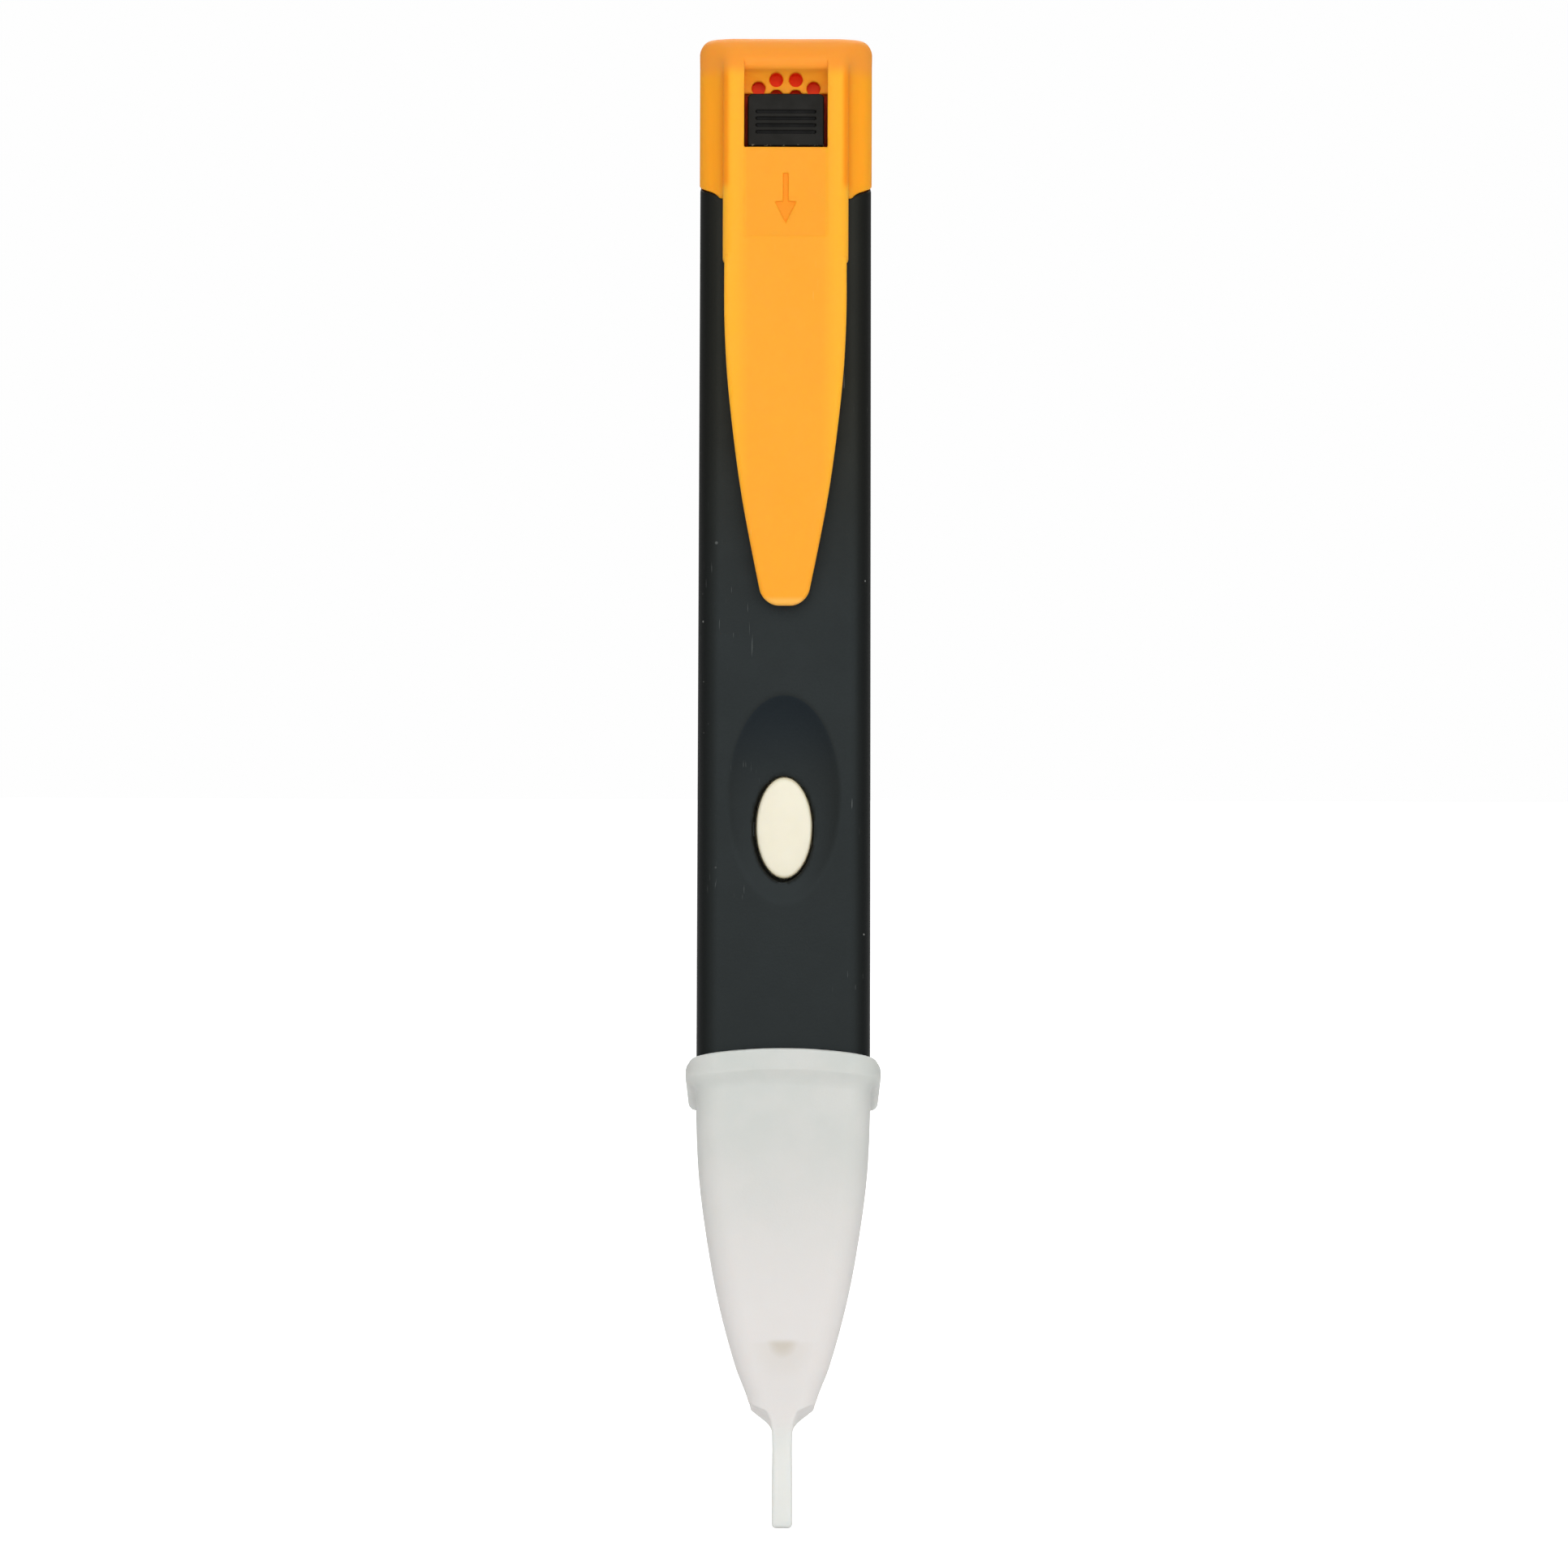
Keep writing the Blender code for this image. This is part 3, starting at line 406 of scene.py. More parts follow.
def sound_holes():
    """Centres of the sound holes that lie in the window."""
    for count, ring in GRILLE_RINGS:
        for k in range(count):
            angle = 2 * math.pi * (k + 0.5) / count
            cx, cz = ring * math.sin(angle), GRILLE_Z + ring * math.cos(angle)
            if abs(cx) < 3.7 and cz > 149:
                yield cx, cz


def cap_field(x, y, z):
    cap = cap_hull(x, y, z)
    plate = np.maximum(np.abs(x) - 4.4, slab(z, 138.7, 149))
    cap = cut(cap, np.maximum(plate, y - BLOCK_FRONT - 0.14), 0.12)
    cap = cut(cap, arrow_field(x, y, z), 0.05)
    sides = np.maximum(np.abs(x) - CHANNEL, WINDOW_BOTTOM - z)
    cap = np.minimum(cut(cap, window_field(y, z), 1.2), cut(cap, sides, 0.1))
    channel = np.maximum(np.abs(x) - CHANNEL, slab(y, GROOVE_FLOOR, TAB_FLOOR))
    cap = np.maximum(cap, -np.maximum(channel, z - 152))
    for cx, cz in sound_holes():
        drill = np.hypot(x - cx, z - cz) - GRILLE_HOLE
        cap = cut(cap, np.maximum(drill, y + 11.4), 0.12)
    inner = edge(hollow(x, y, -10.9), z - CAP_CEILING, 0.6)
    return cut(cap, inner, 0.1)


def clip_field(x, y, z):
    half = curve(z, ((137, 6.51), (129.3, 6.46), (125.6, 6.29), (118.4, 5.6), (111.2, 4.61),
                     (103.9, 3.23), (98, 1.99)))
    share = np.clip((BLOCK_BOTTOM - z) / 36.5, 0, 1)
    front = BLOCK_FRONT - 0.5 * np.sin(np.pi * share)
    thick = 1.0 + smooth_share(z, 110.5, 119.0)
    outline = edge(np.abs(x) - half, 99.45 - z, 1.7)
    arm = edge(outline, front - y, 0.5)
    arm = edge(arm, y - front - thick, 0.2)
    arm = np.maximum(arm, z - (BLOCK_BOTTOM + 0.6))
    groove = np.maximum(np.abs(x) - CHANNEL, slab(z, 109, 137.5))
    groove = np.maximum(groove, GROOVE_FLOOR - y)
    arm = cut(arm, groove, 0.1)
    bump = edge(np.hypot((y + 15.0) / 2.48, (z - 105) / 2.6) * 2.5 - 2.5, np.abs(x) - 2.2, 0.3)
    bump = np.maximum(bump, front + 0.3 - y)
    return fillet(arm, bump, 0.3)


def cap_and_clip_field(x, y, z):
    return np.minimum(cap_field(x, y, z), clip_field(x, y, z))


def latch_field(x, y, z):
    bottom, top = TAB_Z
    side = np.abs(x) - TAB_HALF_WIDTH
    corner = (side + (z - top) + 0.32) / math.sqrt(2)
    tab = edge(edge(slab(z, bottom, top), TAB_FRONT - y, 0.14), y - TAB_BACK, 0.1)
    tab = edge(tab, np.maximum(side, corner), 0.18)
    ramp = np.maximum(slab(y, TONGUE_FRONT, TAB_BACK), slab(z, TONGUE_BOTTOM, 150))
    root = np.maximum(slab(y, TONGUE_FRONT, -12.5), slab(z, TONGUE_BOTTOM, 141.0))
    tongue = edge(fillet(ramp, root, 0.5), side + 0.1, 0.12)
    whole = np.minimum(tab, tongue)
    lowest, spacing, count = GRIP_GROOVES
    for k in range(count):
        groove = np.maximum(np.abs(z - lowest - spacing * k) - 0.17, y + 14.24)
        whole = cut(whole, edge(groove, np.abs(x) - 3.2, 0.16), 0.05)
    return whole


def button_field(x, y, z):
    side = oval_field(x, z, BUTTON) * 1.15
    face = -12.02 + 0.34 * np.minimum(oval(x, z, BUTTON), 1.3) ** 2 - y
    stem = np.maximum(edge(side, face, 0.35), y + 9.2)
    flange = edge(oval_field(x, z, BUTTON_FLANGE), slab(y, -9.6, -8.9), 0.1)
    return fillet(stem, flange, 0.15)


# ---------------------------------------------------------------- turned pieces

def turned(name, profile, centre, sides=72, closed=False):
    """Solid of revolution about a line along Z; profile is (radius, height) in millimetres."""
    rings = len(profile)
    angles = 2 * np.pi * np.arange(sides) / sides
    points = []
    for radius, level in profile:
        x = centre[0] + radius * np.cos(angles)
        y = centre[1] + radius * np.sin(angles)
        points += list(zip(x * MM, y * MM, np.full(sides, level * MM)))
    faces = []
    pairs = [(r, r + 1) for r in range(rings - 1)]
    if closed:
        pairs.append((rings - 1, 0))
    for a, b in pairs:
        for k in range(sides):
            n = (k + 1) % sides
            faces.append((a * sides + k, a * sides + n, b * sides + n, b * sides + k))
    if not closed:
        faces.append(tuple(reversed(range(sides))))
        faces.append(tuple((rings - 1) * sides + k for k in range(sides)))
    made = add_mesh(name, points, faces)
    made.data.validate()
    finish_normals(made, 35)
    return made


# ---------------------------------------------------------------- materials

class Nodes:
    """Small helper for writing node trees. Levels along an axis are in millimetres."""

    def __init__(self, name, colour, roughness, metallic=0.0):
        self.material = bpy.data.materials.new(name)
        self.material.use_nodes = True
        self.material.diffuse_color = (*colour, 1)
        self.tree = self.material.node_tree
        self.shader = self.tree.nodes["Principled BSDF"]
        self.shader.inputs["Base Color"].default_value = (*colour, 1)
        self.shader.inputs["Roughness"].default_value = roughness
        self.shader.inputs["Metallic"].default_value = metallic
        self.place = self.tree.nodes.new("ShaderNodeTexCoord").outputs["Object"]
        self.axes = {}

    def use_stored_place(self):
        """Reads the rest positions that store_place() wrote, for a piece whose points move."""
        node = self.tree.nodes.new("ShaderNodeAttribute")
        node.attribute_name = REST_PLACE
        self.place = node.outputs["Vector"]

    def translucent(self, weight, radius, scale):
        self.shader.inputs["Subsurface Weight"].default_value = weight
        self.shader.inputs["Subsurface Radius"].default_value = radius
        self.shader.inputs["Subsurface Scale"].default_value = scale

    def link(self, start, end):
        self.tree.links.new(start, end)

    def put(self, kind, values=(), **settings):
        node = self.tree.nodes.new(kind)
        for key, value in settings.items():
            setattr(node, key, value)
        for key, value in values:
            if isinstance(value, bpy.types.NodeSocket):
                self.link(value, node.inputs[key])
            else:
                node.inputs[key].default_value = value
        return node

    def stretched(self, scale=(1, 1, 1), turn=(0, 0, 0)):
        node = self.put("ShaderNodeMapping", [("Vector", self.place), ("Scale", scale),
                                              ("Rotation", turn)])
        return node.outputs["Vector"]

    def noise(self, scale, detail, vector=None):
        node = self.put("ShaderNodeTexNoise", [("Vector", vector or self.place),
                                               ("Scale", scale), ("Detail", detail)])
        return node.outputs["Fac"]

    def maths(self, operation, a, b=0.5, c=None):
        values = [(0, a), (1, b)]
        if c is not None:
            values.append((2, c))
        return self.put("ShaderNodeMath", values, operation=operation).outputs[0]

    def product(self, first, *others):
        """Mask where all the masks are, each of them a socket or a plain share."""
        for other in others:
            first = self.maths("MULTIPLY", first, other)
        return first

    def range(self, value, low, high, to_low=0.0, to_high=1.0):
        values = [("Value", value), ("From Min", low), ("From Max", high),
                  ("To Min", to_low), ("To Max", to_high)]
        return self.put("ShaderNodeMapRange", values, interpolation_type="SMOOTHSTEP").outputs["Result"]

    def mix(self, share, a, b):
        node = self.put("ShaderNodeMix", data_type="RGBA")
        for key, value in ((0, share), (6, a), (7, b)):
            if isinstance(value, bpy.types.NodeSocket):
                self.link(value, node.inputs[key])
            elif key == 0:
                node.inputs[0].default_value = value
            else:
                node.inputs[key].default_value = (*value, 1)
        return node.outputs[2]

    def colour(self, value):
        self.link(value, self.shader.inputs["Base Color"])

    def rough(self, value):
        self.link(value, self.shader.inputs["Roughness"])

    def uneven_rough(self, scale, detail, low, high):
        self.rough(self.range(self.noise(scale, detail), 0.3, 0.7, low, high))

    def bump(self, height, distance, strength):
        node = self.put("ShaderNodeBump", [("Height", height), ("Distance", distance),
                                           ("Strength", strength)])
        self.link(node.outputs["Normal"], self.shader.inputs["Normal"])

    def axis(self, name):
        """Place along X, Y or Z in metres; |X| and |Y| are distances from the middle."""
        if not self.axes:
            parts = self.put("ShaderNodeSeparateXYZ", [("Vector", self.place)])
            for key in "XYZ":
                self.axes[key] = parts.outputs[key]
                self.axes[f"|{key}|"] = self.maths("ABSOLUTE", parts.outputs[key])
        return self.axes[name]

    def ramp(self, name, start, end):
        """Mask that rises from start to end along an axis, and stays full beyond."""
        return self.range(self.axis(name), start * MM, end * MM)

    def past(self, name, level):
        return self.maths("GREATER_THAN", self.axis(name), level * MM)

    def before(self, name, level):
        return self.maths("LESS_THAN", self.axis(name), level * MM)

    def oval(self, outline):
        """Square of the share from an oval's centre line to its outline, and the share upward."""
        _, level, wide, tall = outline
        across = self.maths("DIVIDE", self.axis("X"), wide * MM)
        above = self.maths("DIVIDE", self.maths("SUBTRACT", self.axis("Z"), level * MM), tall * MM)
        away = self.maths("ADD", self.product(across, across), self.product(above, above))
        return away, above


def scaled(colour, factor):
    return tuple(min(c * factor, 1.0) for c in colour)


def grain(n, fine=3600, coarse=900):
    """Height of a spark-eroded mould finish: fine pits over a softer unevenness."""
    small = n.noise(fine, 3.0)
    large = n.noise(coarse, 2.0)
    return n.maths("MULTIPLY_ADD", large, 0.5, small)


def scratches(n, density=0.62, turn=(0.3, 0.2, 0.5)):
    """Mask of sparse hairline scratches, gathered in patches."""
    hair = n.noise(1.0, 1.0, n.stretched((5200, 5200, 260), turn))
    other = n.noise(1.0, 1.0, n.stretched((4300, 4300, 210), (0.9, -0.5, 0.2)))
    line = n.maths("MAXIMUM", n.range(hair, 0.725, 0.76), n.range(other, 0.735, 0.77))
    patch = n.range(n.noise(95, 2.0), density - 0.06, density + 0.02)
    return n.product(line, patch)


def specks(n, scale=420, size=0.10, rarity=0.93):
    """Mask of rare dust specks."""
    spot = n.put("ShaderNodeTexVoronoi", [("Vector", n.place), ("Scale", scale)])
    near = n.range(spot.outputs["Distance"], size * 0.6, size, 1.0, 0.0)
    pick = n.put("ShaderNodeSeparateColor", [("Color", spot.outputs["Color"])])
    return n.product(near, n.maths("GREATER_THAN", pick.outputs[0], rarity))


def body_plastic():
    base = (0.0095, 0.0100, 0.0088)
    n = Nodes("barrel_plastic", base, 0.4)
    # painted reflection: the specular tint is cool, and painted warmer near the cap as a reflection of
    # its orange
    cool, painted_cap_reflection = (0.74, 0.91, 0.98), (0.70, 0.72, 0.62)
    n.shader.inputs["Specular Tint"].default_value = (*cool, 1)
    n.link(n.mix(n.ramp("Z", 95, 125), cool, painted_cap_reflection), n.shader.inputs["Specular Tint"])
    # painted shade: the rounded corners are painted darker and duller
    corner = n.product(n.ramp("|X|", 7.6, 8.8), n.ramp("|Y|", 9.8, 10.8))
    n.link(n.range(corner, 0.0, 1.0, 0.22, 0.14), n.shader.inputs["Specular IOR Level"])
    shade = n.mix(n.noise(140, 3.0), scaled(base, 0.86), scaled(base, 1.14))
    shade = n.mix(corner, shade, scaled(base, 0.6))
    # painted shade: the dimple is painted cooler and darker towards its upper rim
    away, above = n.oval(DIMPLE)
    dimple_shade = n.product(n.range(away, 1.0, 0.96), n.range(above, 0.05, 0.95), n.before("Y", -10))
    shade = n.mix(dimple_shade, shade, (0.0035, 0.0055, 0.0080))
    worn = n.maths("MAXIMUM", scratches(n), specks(n))
    shade = n.mix(n.product(worn, 0.55), shade, (0.13, 0.135, 0.13))
    # chips in patches along the corner edges
    chips = n.product(n.ramp("|X|", 8.0, 8.6), n.ramp("|Y|", 9.5, 10.2), specks(n, 1500, 0.2, 0.88))
    chips = n.product(chips, n.range(n.noise(110, 1.0), 0.5, 0.56), 0.8)
    n.colour(n.mix(chips, shade, (0.22, 0.22, 0.21)))
    n.uneven_rough(210, 3.0, 0.39, 0.44)
    n.bump(grain(n), 0.00002, 0.5)
    return n.material


def cap_edge_light_and_shade(n):
    """Painted light and shade on the cap: rails painted yellower as if light shone through them,
    shoulders, grooves and the top slope painted redder as shade, and a painted highlight along the
    clip's lower tip.
    """
    # painted light: the rails beside the window are painted yellower
    rail = n.product(n.ramp("|X|", 3.6, 5.6), n.before("Y", -14.5))
    # painted shade: the shoulders are painted redder
    shoulder = n.product(n.ramp("|X|", 6.4, 7.4), n.ramp("Y", -14.0, -13.0))
    # painted shade in the grooves beside the block
    groove = n.product(n.ramp("|X|", 5.8, 6.4), n.ramp("|X|", 7.3, 6.7), n.ramp("Z", 143.4, 144.6),
                       n.before("Y", -12.2))
    # painted shade: the top slope is painted redder and darker
    crown = n.ramp("Z", 155.5, 157.2)
    # painted highlight along the lower tip of the clip
    lip = n.product(n.ramp("Z", 100.5, 99.9), n.before("Y", -14.6))
    return (
        (rail, 1.0, (1.0, 0.455, 0.030)),
        (shoulder, 1.0, (1.0, 0.375, 0.018)),
        (groove, 1.0, (1.0, 0.305, 0.010)),
        (crown, 1.0, (0.95, 0.335, 0.038)),
        (lip, 0.7, (1.0, 0.52, 0.12)),
    )


def cap_window_light_and_shade(n):
    """Painted light and shade in the window: the recess painted brighter as if lit through its walls,
    the slots beside the tab painted dark as shade, and painted red shade that deepens into the floor
    and the holes.
    """
    bay = n.product(n.before("|X|", 4.6), n.past("Z", 148.0), n.ramp("Z", 157.3, 156.6),
                    n.before("Y", -11.2))
    # painted light: the recess is painted a brighter red
    recess = n.product(bay, n.ramp("Y", -15.1, -13.0))
    # painted shade: the slots beside the tab are painted dark red
    slot = n.product(bay, n.ramp("|X|", 3.7, 4.0), n.ramp("Z", 154.2, 153.8), n.past("Y", -14.9))
    # depth below the floor: it steps forward above the tab and comes out 0.9 mm with each mm up
    climb = n.maths("MAXIMUM", n.maths("SUBTRACT", n.axis("Z"), 155.5 * MM), 0.0)
    step = (STEP_FLOOR - TAB_FLOOR) * MM
    level = n.maths("MULTIPLY_ADD", n.past("Z", STEP_Z), step, TAB_FLOOR * MM)
    level = n.maths("MULTIPLY_ADD", climb, -0.9, level)
    sunk = n.range(n.maths("SUBTRACT", n.axis("Y"), level), 0.1 * MM, 0.9 * MM)
    # painted shade: surfaces deeper below the floor are painted red
    depth_shade = n.product(sunk, n.before("|X|", 4.3), n.past("Z", 148.4), n.ramp("Z", 156.6, 156.2),
                     n.before("Y", -10.5))
    return (
        (recess, 1.0, (1.0, 0.36, 0.022)),
        (slot, 1.0, (0.55, 0.04, 0.006)),
        (depth_shade, 0.95, (1.0, 0.05, 0.003)),
    )


def cap_arrow_shade(n):
    """Painted shade on the floors of the shallow plate and of the arrow debossed in it."""
    near = n.product(n.before("|X|", 4.2), n.past("Z", 138.5), n.before("Z", 148.2),
                     n.before("Y", -14.9))
    plate = n.product(n.ramp("Y", -15.38, -15.28), near)
    arrow_floor_shade = n.product(n.ramp("Y", -15.18, -15.08), near)
    return (plate, 0.3, (0.97, 0.33, 0.024)), (arrow_floor_shade, 0.6, (1.0, 0.27, 0.010))


def cap_plastic():
    base = (0.93, 0.405, 0.036)
    n = Nodes("cap_plastic", base, 0.45)
    n.use_stored_place()
    n.translucent(0.35, (1.0, 0.30, 0.05), 0.0009)
    n.shader.inputs["Specular IOR Level"].default_value = 0.09
    shade = n.mix(n.noise(120, 3.0), (0.955, 0.375, 0.026), (0.99, 0.410, 0.034))
    # painted light and shade from the edge, window and arrow tables
    for mask, share, tone in (*cap_edge_light_and_shade(n), *cap_window_light_and_shade(n), *cap_arrow_shade(n)):
        shade = n.mix(n.product(mask, share), shade, tone)
    worn = n.product(scratches(n, 0.64, (0.1, 0.2, -0.4)), 0.35)
    n.colour(n.mix(worn, shade, (0.97, 0.55, 0.16)))
    n.uneven_rough(260, 3.0, 0.40, 0.52)
    n.bump(grain(n, 4200, 700), 0.00002, 0.45)
    return n.material


def nose_plastic():
    base = (0.72, 0.70, 0.67)
    n = Nodes("nose_plastic", base, 0.5)
    n.translucent(0.5, (1.0, 0.85, 0.75), 0.0016)
    shade = n.mix(n.ramp("Z", 20, 52), (0.775, 0.75, 0.73), (0.585, 0.607, 0.577))
    cloud = n.range(n.noise(190, 3.0), 0.3, 0.7)
    shade = n.mix(cloud, shade, n.mix(0.25, shade, (0.76, 0.73, 0.705)))
    shade = n.mix(n.ramp("Z", 12.5, 9.5), shade, (0.755, 0.765, 0.735))
    # painted shade: the lamp inside is painted as a soft warm half moon that shows through both broad
    # faces
    squared, above = n.oval(LAMP)
    away = n.maths("SQRT", squared)
    moon = n.product(n.range(away, 0.3, 1.3, 1.0, 0.0), n.range(above, 0.3 / 2.1, -0.4 / 2.1))
    trail = n.product(n.range(away, 0.9, 2.4, 0.25, 0.0), n.range(above, 0.1 / 2.1, -0.5 / 2.1))
    lamp = n.product(n.maths("MAXIMUM", moon, trail), n.ramp("|Y|", 3, 4.5), 0.85)
    shade = n.mix(lamp, shade, (0.62, 0.57, 0.495))
    dirt = n.product(specks(n, 330, 0.07, 0.965), 0.5)
    n.colour(n.mix(dirt, shade, (0.30, 0.28, 0.26)))
    n.uneven_rough(300, 3.0, 0.44, 0.56)
    n.bump(grain(n, 3800, 800), 0.00002, 0.5)
    return n.material


def latch_plastic():
    base = (0.0095, 0.009, 0.0072)
    n = Nodes("latch_plastic", base, 0.45)
    n.shader.inputs["Specular IOR Level"].default_value = 0.11
    shade = n.mix(n.noise(400, 3.0), scaled(base, 0.8), scaled(base, 1.25))
    # painted shade on the floors of the grip grooves, and bare bright wear along the lower edge
    sunk = n.product(n.ramp("Y", -14.44, -14.30), n.before("Y", -14.1), n.before("|X|", 3.4))
    shade = n.mix(sunk, shade, (0.0018, 0.0017, 0.0015))
    rim = n.product(n.ramp("Z", 148.55, 148.46), n.ramp("Y", -14.15, -14.3))
    rim = n.product(rim, n.range(n.noise(1900, 2.0), 0.56, 0.66), 0.5)
    n.colour(n.mix(rim, shade, (0.33, 0.30, 0.22)))
    n.uneven_rough(500, 2.0, 0.40, 0.55)
    n.bump(grain(n, 3800, 1000), 0.00002, 0.6)
    return n.material


def button_plastic():
    base = (0.87, 0.82, 0.66)
    n = Nodes("button_plastic", base, 0.42)
    n.translucent(0.25, (1.0, 0.8, 0.5), 0.0012)
    shade = n.mix(n.noise(500, 3.0), (0.79, 0.745, 0.59), (0.83, 0.785, 0.64))
    # painted shade: the rim is painted darker and warmer
    away, _ = n.oval(BUTTON)
    n.colour(n.mix(n.range(away, 0.86, 1.0, 0.0, 0.7), shade, (0.66, 0.57, 0.34)))
    n.uneven_rough(800, 2.0, 0.36, 0.48)
    n.bump(grain(n, 4200, 900), 0.000015, 0.5)
    return n.material


def plain_plastic(name, base, roughness):
    n = Nodes(name, base, roughness)
    n.colour(n.mix(n.noise(350, 3.0), scaled(base, 0.85), scaled(base, 1.15)))
    n.uneven_rough(700, 2.0, roughness - 0.07, roughness + 0.07)
    n.bump(grain(n), 0.00002, 0.5)
    return n.material


def metal(name, base, roughness):
    n = Nodes(name, base, roughness, 1.0)
    brushed = n.noise(1.0, 2.0, n.stretched((900, 900, 60)))
    n.colour(n.mix(brushed, scaled(base, 0.82), scaled(base, 1.08)))
    n.rough(n.range(brushed, 0.3, 0.7, roughness - 0.08, roughness + 0.12))
    n.bump(n.noise(1.0, 2.0, n.stretched((2600, 2600, 160))), 0.00001, 0.4)
    return n.material


def board_laminate():
    base = (0.018, 0.15, 0.065)
    n = Nodes("board_laminate", base, 0.4)
    upright = n.stretched(turn=(math.pi / 2, 0, 0))
    weave = n.put("ShaderNodeTexBrick", [("Vector", upright), ("Scale", 900.0), ("Mortar Size", 0.08)])
    weave.inputs["Color1"].default_value = (0.018, 0.155, 0.066, 1)
    weave.inputs["Color2"].default_value = (0.016, 0.140, 0.060, 1)
    weave.inputs["Mortar"].default_value = (0.012, 0.110, 0.048, 1)
    n.colour(weave.outputs["Color"])
    n.uneven_rough(600, 2.0, 0.32, 0.48)
    n.bump(weave.outputs["Fac"], 0.00001, 0.3)
    return n.material


def cell_wrap():
    base = (0.035, 0.12, 0.30)
    n = Nodes("cell_wrap", base, 0.28)
    shade = n.mix(n.ramp("Z", 129.5, 129.7), base, (0.42, 0.43, 0.44))
    rule = n.product(n.ramp("Z", 128.3, 128.4), n.ramp("Z", 129.0, 128.9))
    shade = n.mix(rule, shade, (0.72, 0.73, 0.74))
    n.colour(n.mix(n.product(scratches(n, 0.55), 0.5), shade, (0.5, 0.52, 0.55)))
    n.uneven_rough(500, 3.0, 0.20, 0.34)
    n.bump(n.noise(260, 2.0), 0.00002, 0.3)
    return n.material


def lamp_epoxy():
    n = Nodes("lamp_epoxy", (0.70, 0.05, 0.03), 0.12)
    n.colour(n.mix(n.noise(600, 2.0), (0.62, 0.04, 0.025), (0.76, 0.06, 0.035)))
    n.uneven_rough(900, 2.0, 0.08, 0.18)
    n.bump(n.noise(1500, 2.0), 0.00001, 0.3)
    return n.material


# ---------------------------------------------------------------- pieces

def dress(made, look, body, slot_name, *nodes):
    """Gives a piece its material and body, and hides the CAD nodes that it replaces; the slot name is
    not used.
    """
    made.data.materials.clear()
    made.data.materials.append(look)
    if body:
        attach(made, body)
    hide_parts(*nodes)


def build_barrel():
    xs = mirrored((0, 6.0, 0.3), (6.0, 9.9, 0.26))
    ys = lines((-12.7, -8.4, 0.26), (-8.4, 8.6, 1.0), (8.6, 12.7, 0.3))
    zs = lines((46.4, 53.4, 0.3), (53.4, 66, 1.0), (66, 92, 0.32), (92, 95, 0.35),
               (95, 131.4, 1.4), (131.4, 149, 0.3))
    body = skin("barrel_skin", body_field, xs, ys, zs, 0.45)
    dress(body, body_plastic(), "barrel", "barrel", "body_shell")


def build_nose():
    xs = mirrored((0, 4.2, 0.16), (4.2, 8.6, 0.45), (8.6, 11.2, 0.22))
    ys = mirrored((0, 2.6, 0.4), (2.6, 13.9, 0.3))
    zs = lines((-0.5, 14.5, 0.17), (14.5, 42.5, 0.7), (42.5, 53.5, 0.22))
    nose = skin("nose_skin", nose_field, xs, ys, zs, 0.5)
    dress(nose, nose_plastic(), "barrel", "nose", "nose_cone")


def build_cap():
    """Cap and clip are one moulding."""
    xs = mirrored((0, 4.8, 0.16), (4.8, 9.6, 0.2))
    ys = lines((-16.2, -10.2, 0.16), (-10.2, 9.2, 1.0), (9.2, 12.6, 0.25))
    zs = lines((99.1, 102.5, 0.2), (102.5, 134.6, 0.5), (134.6, 160.4, 0.16))
    cap = skin("cap_and_clip_skin", cap_and_clip_field, xs, ys, zs, 0.4)
    store_place(cap)
    dress(cap, cap_plastic(), None, "cap", "end_cap", "pocket_clip")
    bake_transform(cap)


def build_latch():
    xs = mirrored((0, 4.3, 0.11))
    ys = lines((-14.8, -12.2, 0.09))
    zs = lines((138.2, 148, 0.25), (148, 154, 0.08))
    latch = skin("latch_skin", latch_field, xs, ys, zs, 0.45, 0.05)
    dress(latch, latch_plastic(), "latch", "latch", "latch_tongue")


def build_button():
    xs = mirrored((0, 4.6, 0.16))
    ys = lines((-12.4, -8.6, 0.1))
    zs = lines((68.8, 83.0, 0.2))
    button = skin("button_skin", button_field, xs, ys, zs, 0.5, 0.06)
    dress(button, button_plastic(), "button", "button", "button_cap")


def build_cells():
    """Two AAA cells, each a steel can with its button end, in a printed sleeve."""
    steel = metal("cell_steel", (0.76, 0.75, 0.72), 0.26)
    wrap = cell_wrap()
    for name, y, up in (("cell_front", -CELL_Y, True), ("cell_rear", CELL_Y, False)):
        flat, tip = CELL_Z if up else reversed(CELL_Z)
        s = 1 if up else -1
        can = [
            (3.6, flat), (4.5, flat), (4.85, flat + s * 0.12), (5.0, flat + s * 0.4),
            (5.0, tip - s * 2.6), (4.93, tip - s * 2.3), (4.93, tip - s * 2.0), (5.0, tip - s * 1.7),
            (5.0, tip - s * 1.35), (4.86, tip - s * 1.0), (4.6, tip - s * 0.9),
            (3.3, tip - s * 0.9), (3.1, tip - s * 1.05), (2.2, tip - s * 1.05), (1.95, tip - s * 0.85),
            (1.9, tip - s * 0.2), (1.7, tip),
        ]
        made = turned(f"{name}_can", can if up else list(reversed(can)), (0, y))
        dress(made, steel, "cells", "cell_metal", name)
        ends = sorted((flat + s * 0.5, tip - s * 1.4))
        skin_rows = [(5.06, ends[0]), (5.2, ends[0] + 0.02), (5.25, ends[0] + 0.12),
                     (5.25, ends[1] - 0.12), (5.2, ends[1] - 0.02), (5.06, ends[1])]
        made = turned(f"{name}_wrap", skin_rows, (0, y), closed=True)
        dress(made, wrap, "cells", "cell_sleeve", f"{name}_sleeve")


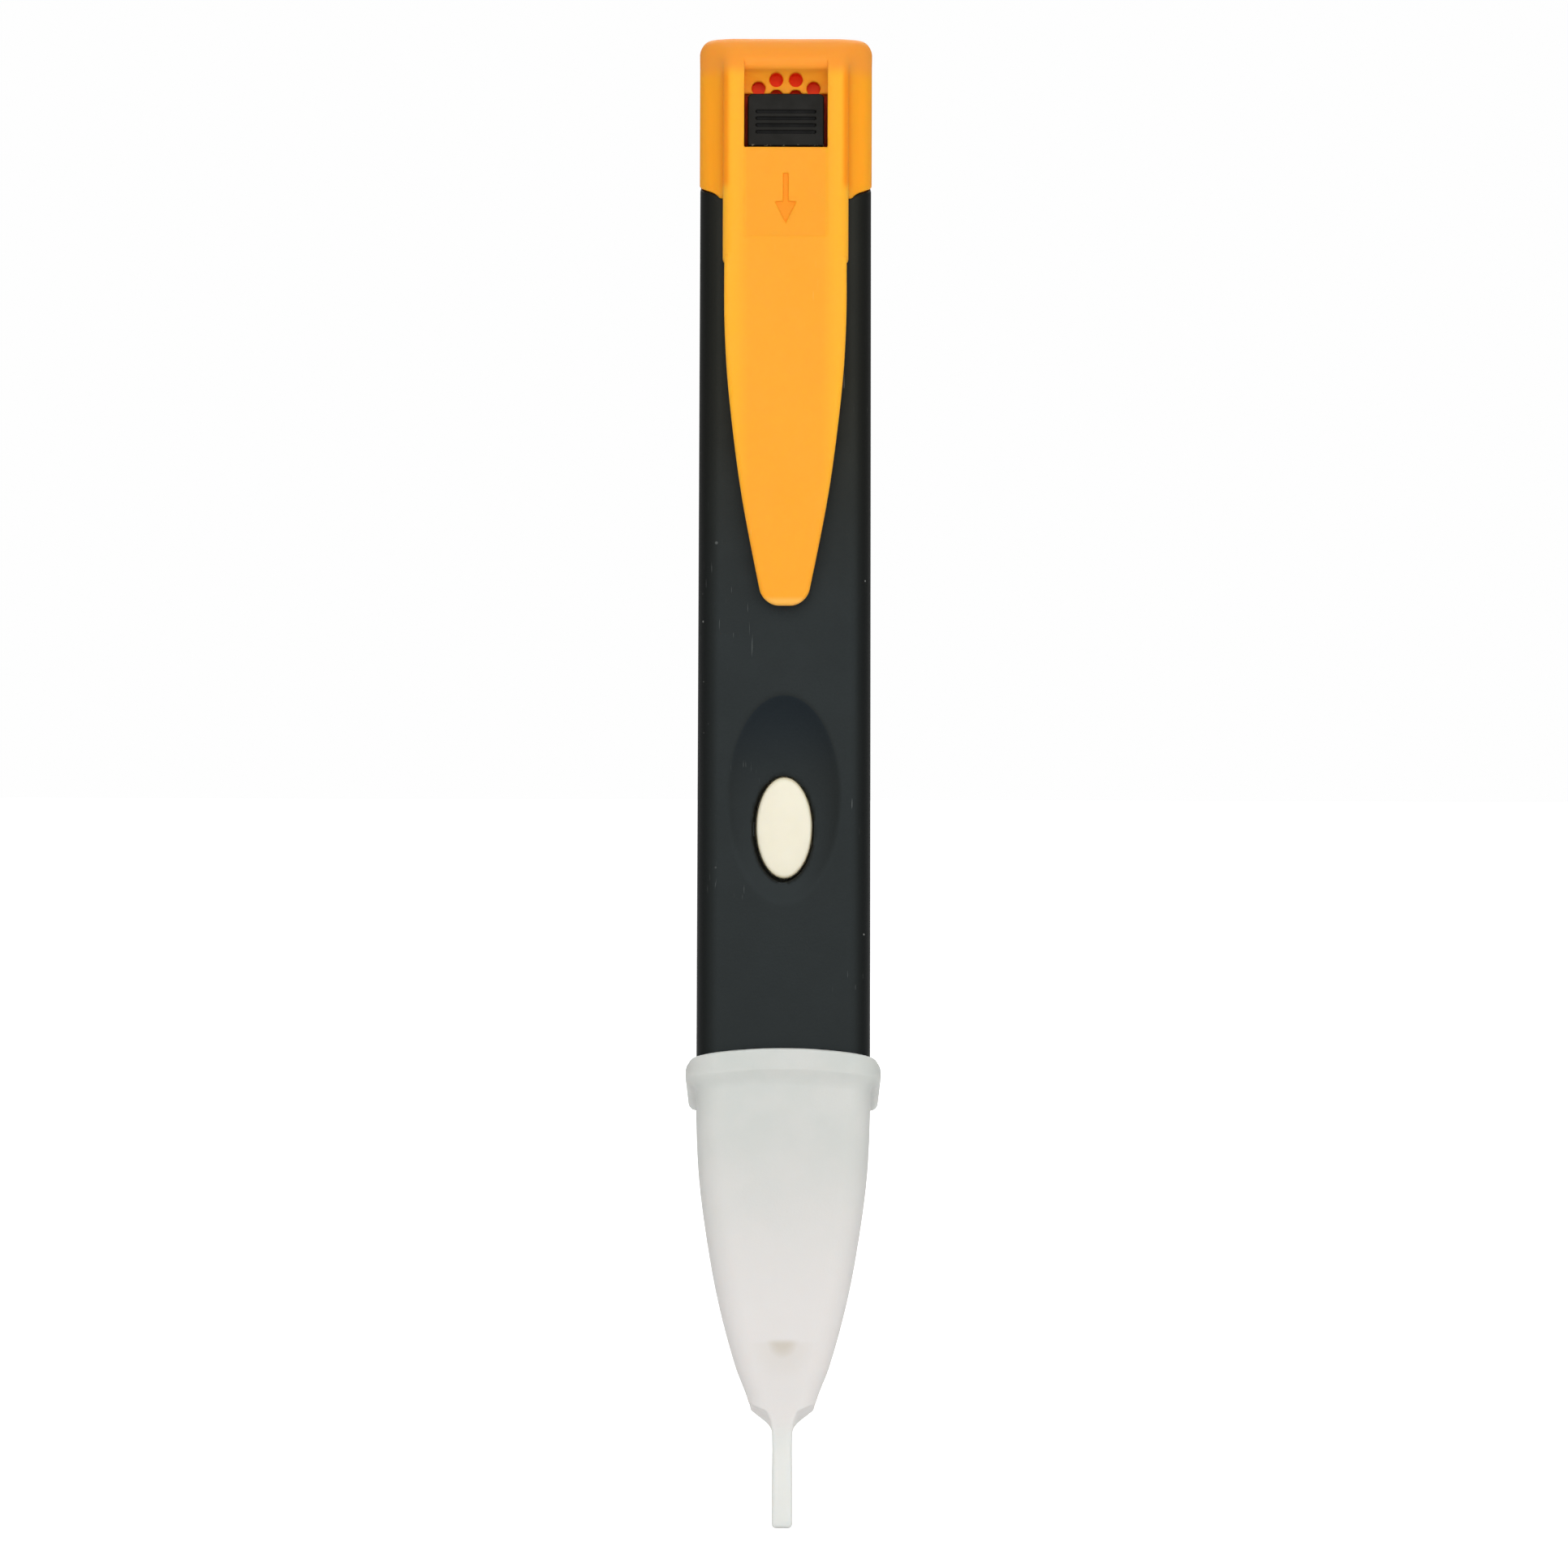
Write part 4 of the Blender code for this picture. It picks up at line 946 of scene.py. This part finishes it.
def dress_frame():
    """Procedural finish for each CAD node that stays."""
    black = plain_plastic("inner_black", (0.028, 0.028, 0.027), 0.5)
    chip = plain_plastic("chip_epoxy", (0.020, 0.020, 0.021), 0.55)
    nickel = metal("nickel_plate", (0.76, 0.75, 0.71), 0.3)
    brass = metal("brass_sheet", (0.80, 0.60, 0.26), 0.32)
    white = plain_plastic("fired_ceramic", (0.80, 0.78, 0.72), 0.6)
    looks = {
        "chassis": black, "switch_base": black, "bridge_carrier": black, "sounder_ring": black,
        "switch_plunger": black, "circuit_board": board_laminate(), "control_chip": chip,
        "amplifier_transistor": chip, "filter_capacitor": white, "timing_capacitor": white,
        "switch_cover": nickel, "led_lead_front": nickel, "led_lead_rear": nickel,
        "negative_spring": nickel, "positive_contact": nickel, "bridge_plate": nickel,
        "bridge_spring": nickel, "sensor_strip": brass, "sensor_wire": brass,
        "sounder_plate": brass, "sounder_leaf_left": brass, "sounder_leaf_right": brass,
        "feed_strip_left": brass, "feed_strip_right": brass, "sounder_ceramic": white,
        "led_lens": lamp_epoxy(),
    }
    for name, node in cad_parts.items():
        look = looks.get(name, chip)
        if not node.material_slots:
            node.data.materials.append(look)
        for place in node.material_slots:
            place.material = look


# ---------------------------------------------------------------- stage, light and camera

def camera_share(tree):
    return tree.nodes.new("ShaderNodeLightPath").outputs["Is Camera Ray"]


def build_floor():
    """White paper that the camera sees nearly as bright as the background."""
    reach = 30.0
    corners = [(-reach, -reach, 0), (reach, -reach, 0), (reach, reach, 0), (-reach, reach, 0)]
    floor = add_mesh("floor", corners, [(0, 1, 2, 3)])
    look = bpy.data.materials.new("floor_paper")
    look.use_nodes = True
    tree = look.node_tree
    shader = tree.nodes["Principled BSDF"]
    shader.inputs["Base Color"].default_value = (0.86, 0.86, 0.86, 1)
    shader.inputs["Roughness"].default_value = 0.9
    shader.inputs["Specular IOR Level"].default_value = 0.1
    shader.inputs["Emission Color"].default_value = (1, 1, 1, 1)
    lift = tree.nodes.new("ShaderNodeMath")
    lift.operation = "MULTIPLY"
    lift.inputs[1].default_value = 0.80
    tree.links.new(camera_share(tree), lift.inputs[0])
    tree.links.new(lift.outputs[0], shader.inputs["Emission Strength"])
    floor.data.materials.append(look)


def build_world():
    """White background to the camera, and a room that is brighter in front than behind."""
    front, back, seen = 0.64, 0.27, 0.991
    world = bpy.data.worlds.new("studio")
    world.use_nodes = True
    tree = world.node_tree
    sky = tree.nodes["Background"]
    sky.inputs["Color"].default_value = (1, 1, 1, 1)
    aim = tree.nodes.new("ShaderNodeTexCoord")
    parts = tree.nodes.new("ShaderNodeSeparateXYZ")
    tree.links.new(aim.outputs["Generated"], parts.inputs["Vector"])
    room = tree.nodes.new("ShaderNodeMapRange")
    room.inputs["From Min"].default_value = -1.0
    room.inputs["To Min"].default_value = front
    room.inputs["To Max"].default_value = back
    tree.links.new(parts.outputs["Y"], room.inputs["Value"])
    level = tree.nodes.new("ShaderNodeMapRange")
    level.inputs["To Max"].default_value = seen
    tree.links.new(camera_share(tree), level.inputs["Value"])
    tree.links.new(room.outputs["Result"], level.inputs["To Min"])
    tree.links.new(level.outputs["Result"], sky.inputs["Strength"])
    bpy.context.scene.world = world


def area_light(name, place, target, size, power):
    data = bpy.data.lights.new(name, "AREA")
    data.shape = "RECTANGLE"
    data.size, data.size_y = size
    data.energy = power
    made = bpy.data.objects.new(name, data)
    made.location = place
    made.rotation_euler = (Vector(target) - Vector(place)).to_track_quat("-Z", "Y").to_euler()
    made.visible_camera = False
    bpy.context.scene.collection.objects.link(made)


def build_lights():
    area_light("key", (0.13, -1.35, 0.38), (0, 0, 0.08), (1.8, 1.2), 13.4)
    area_light("back", (0, 1.0, 1.25), (0, 0, 0.08), (1.6, 1.0), 14.0)


def build_camera():
    data = bpy.data.cameras.new("camera")
    data.sensor_width = 36.0
    data.lens = 143.7
    data.clip_start = 0.01
    data.clip_end = 100.0
    made = bpy.data.objects.new("camera", data)
    made.matrix_world = (
        Matrix.Translation((0, -0.680, 0.0805))
        @ Matrix.Rotation(math.radians(90), 4, "X")
        @ Matrix.Rotation(math.radians(0.165), 4, "Z")
    )
    bpy.context.scene.collection.objects.link(made)
    bpy.context.scene.camera = made


def build():
    build_camera()
    build_barrel()
    build_nose()
    build_cap()
    build_latch()
    build_button()
    build_cells()
    dress_frame()
    build_floor()
    build_world()
    build_lights()
    bpy.context.scene.view_settings.view_transform = "Standard"
    bpy.context.scene.view_settings.look = "None"


build()
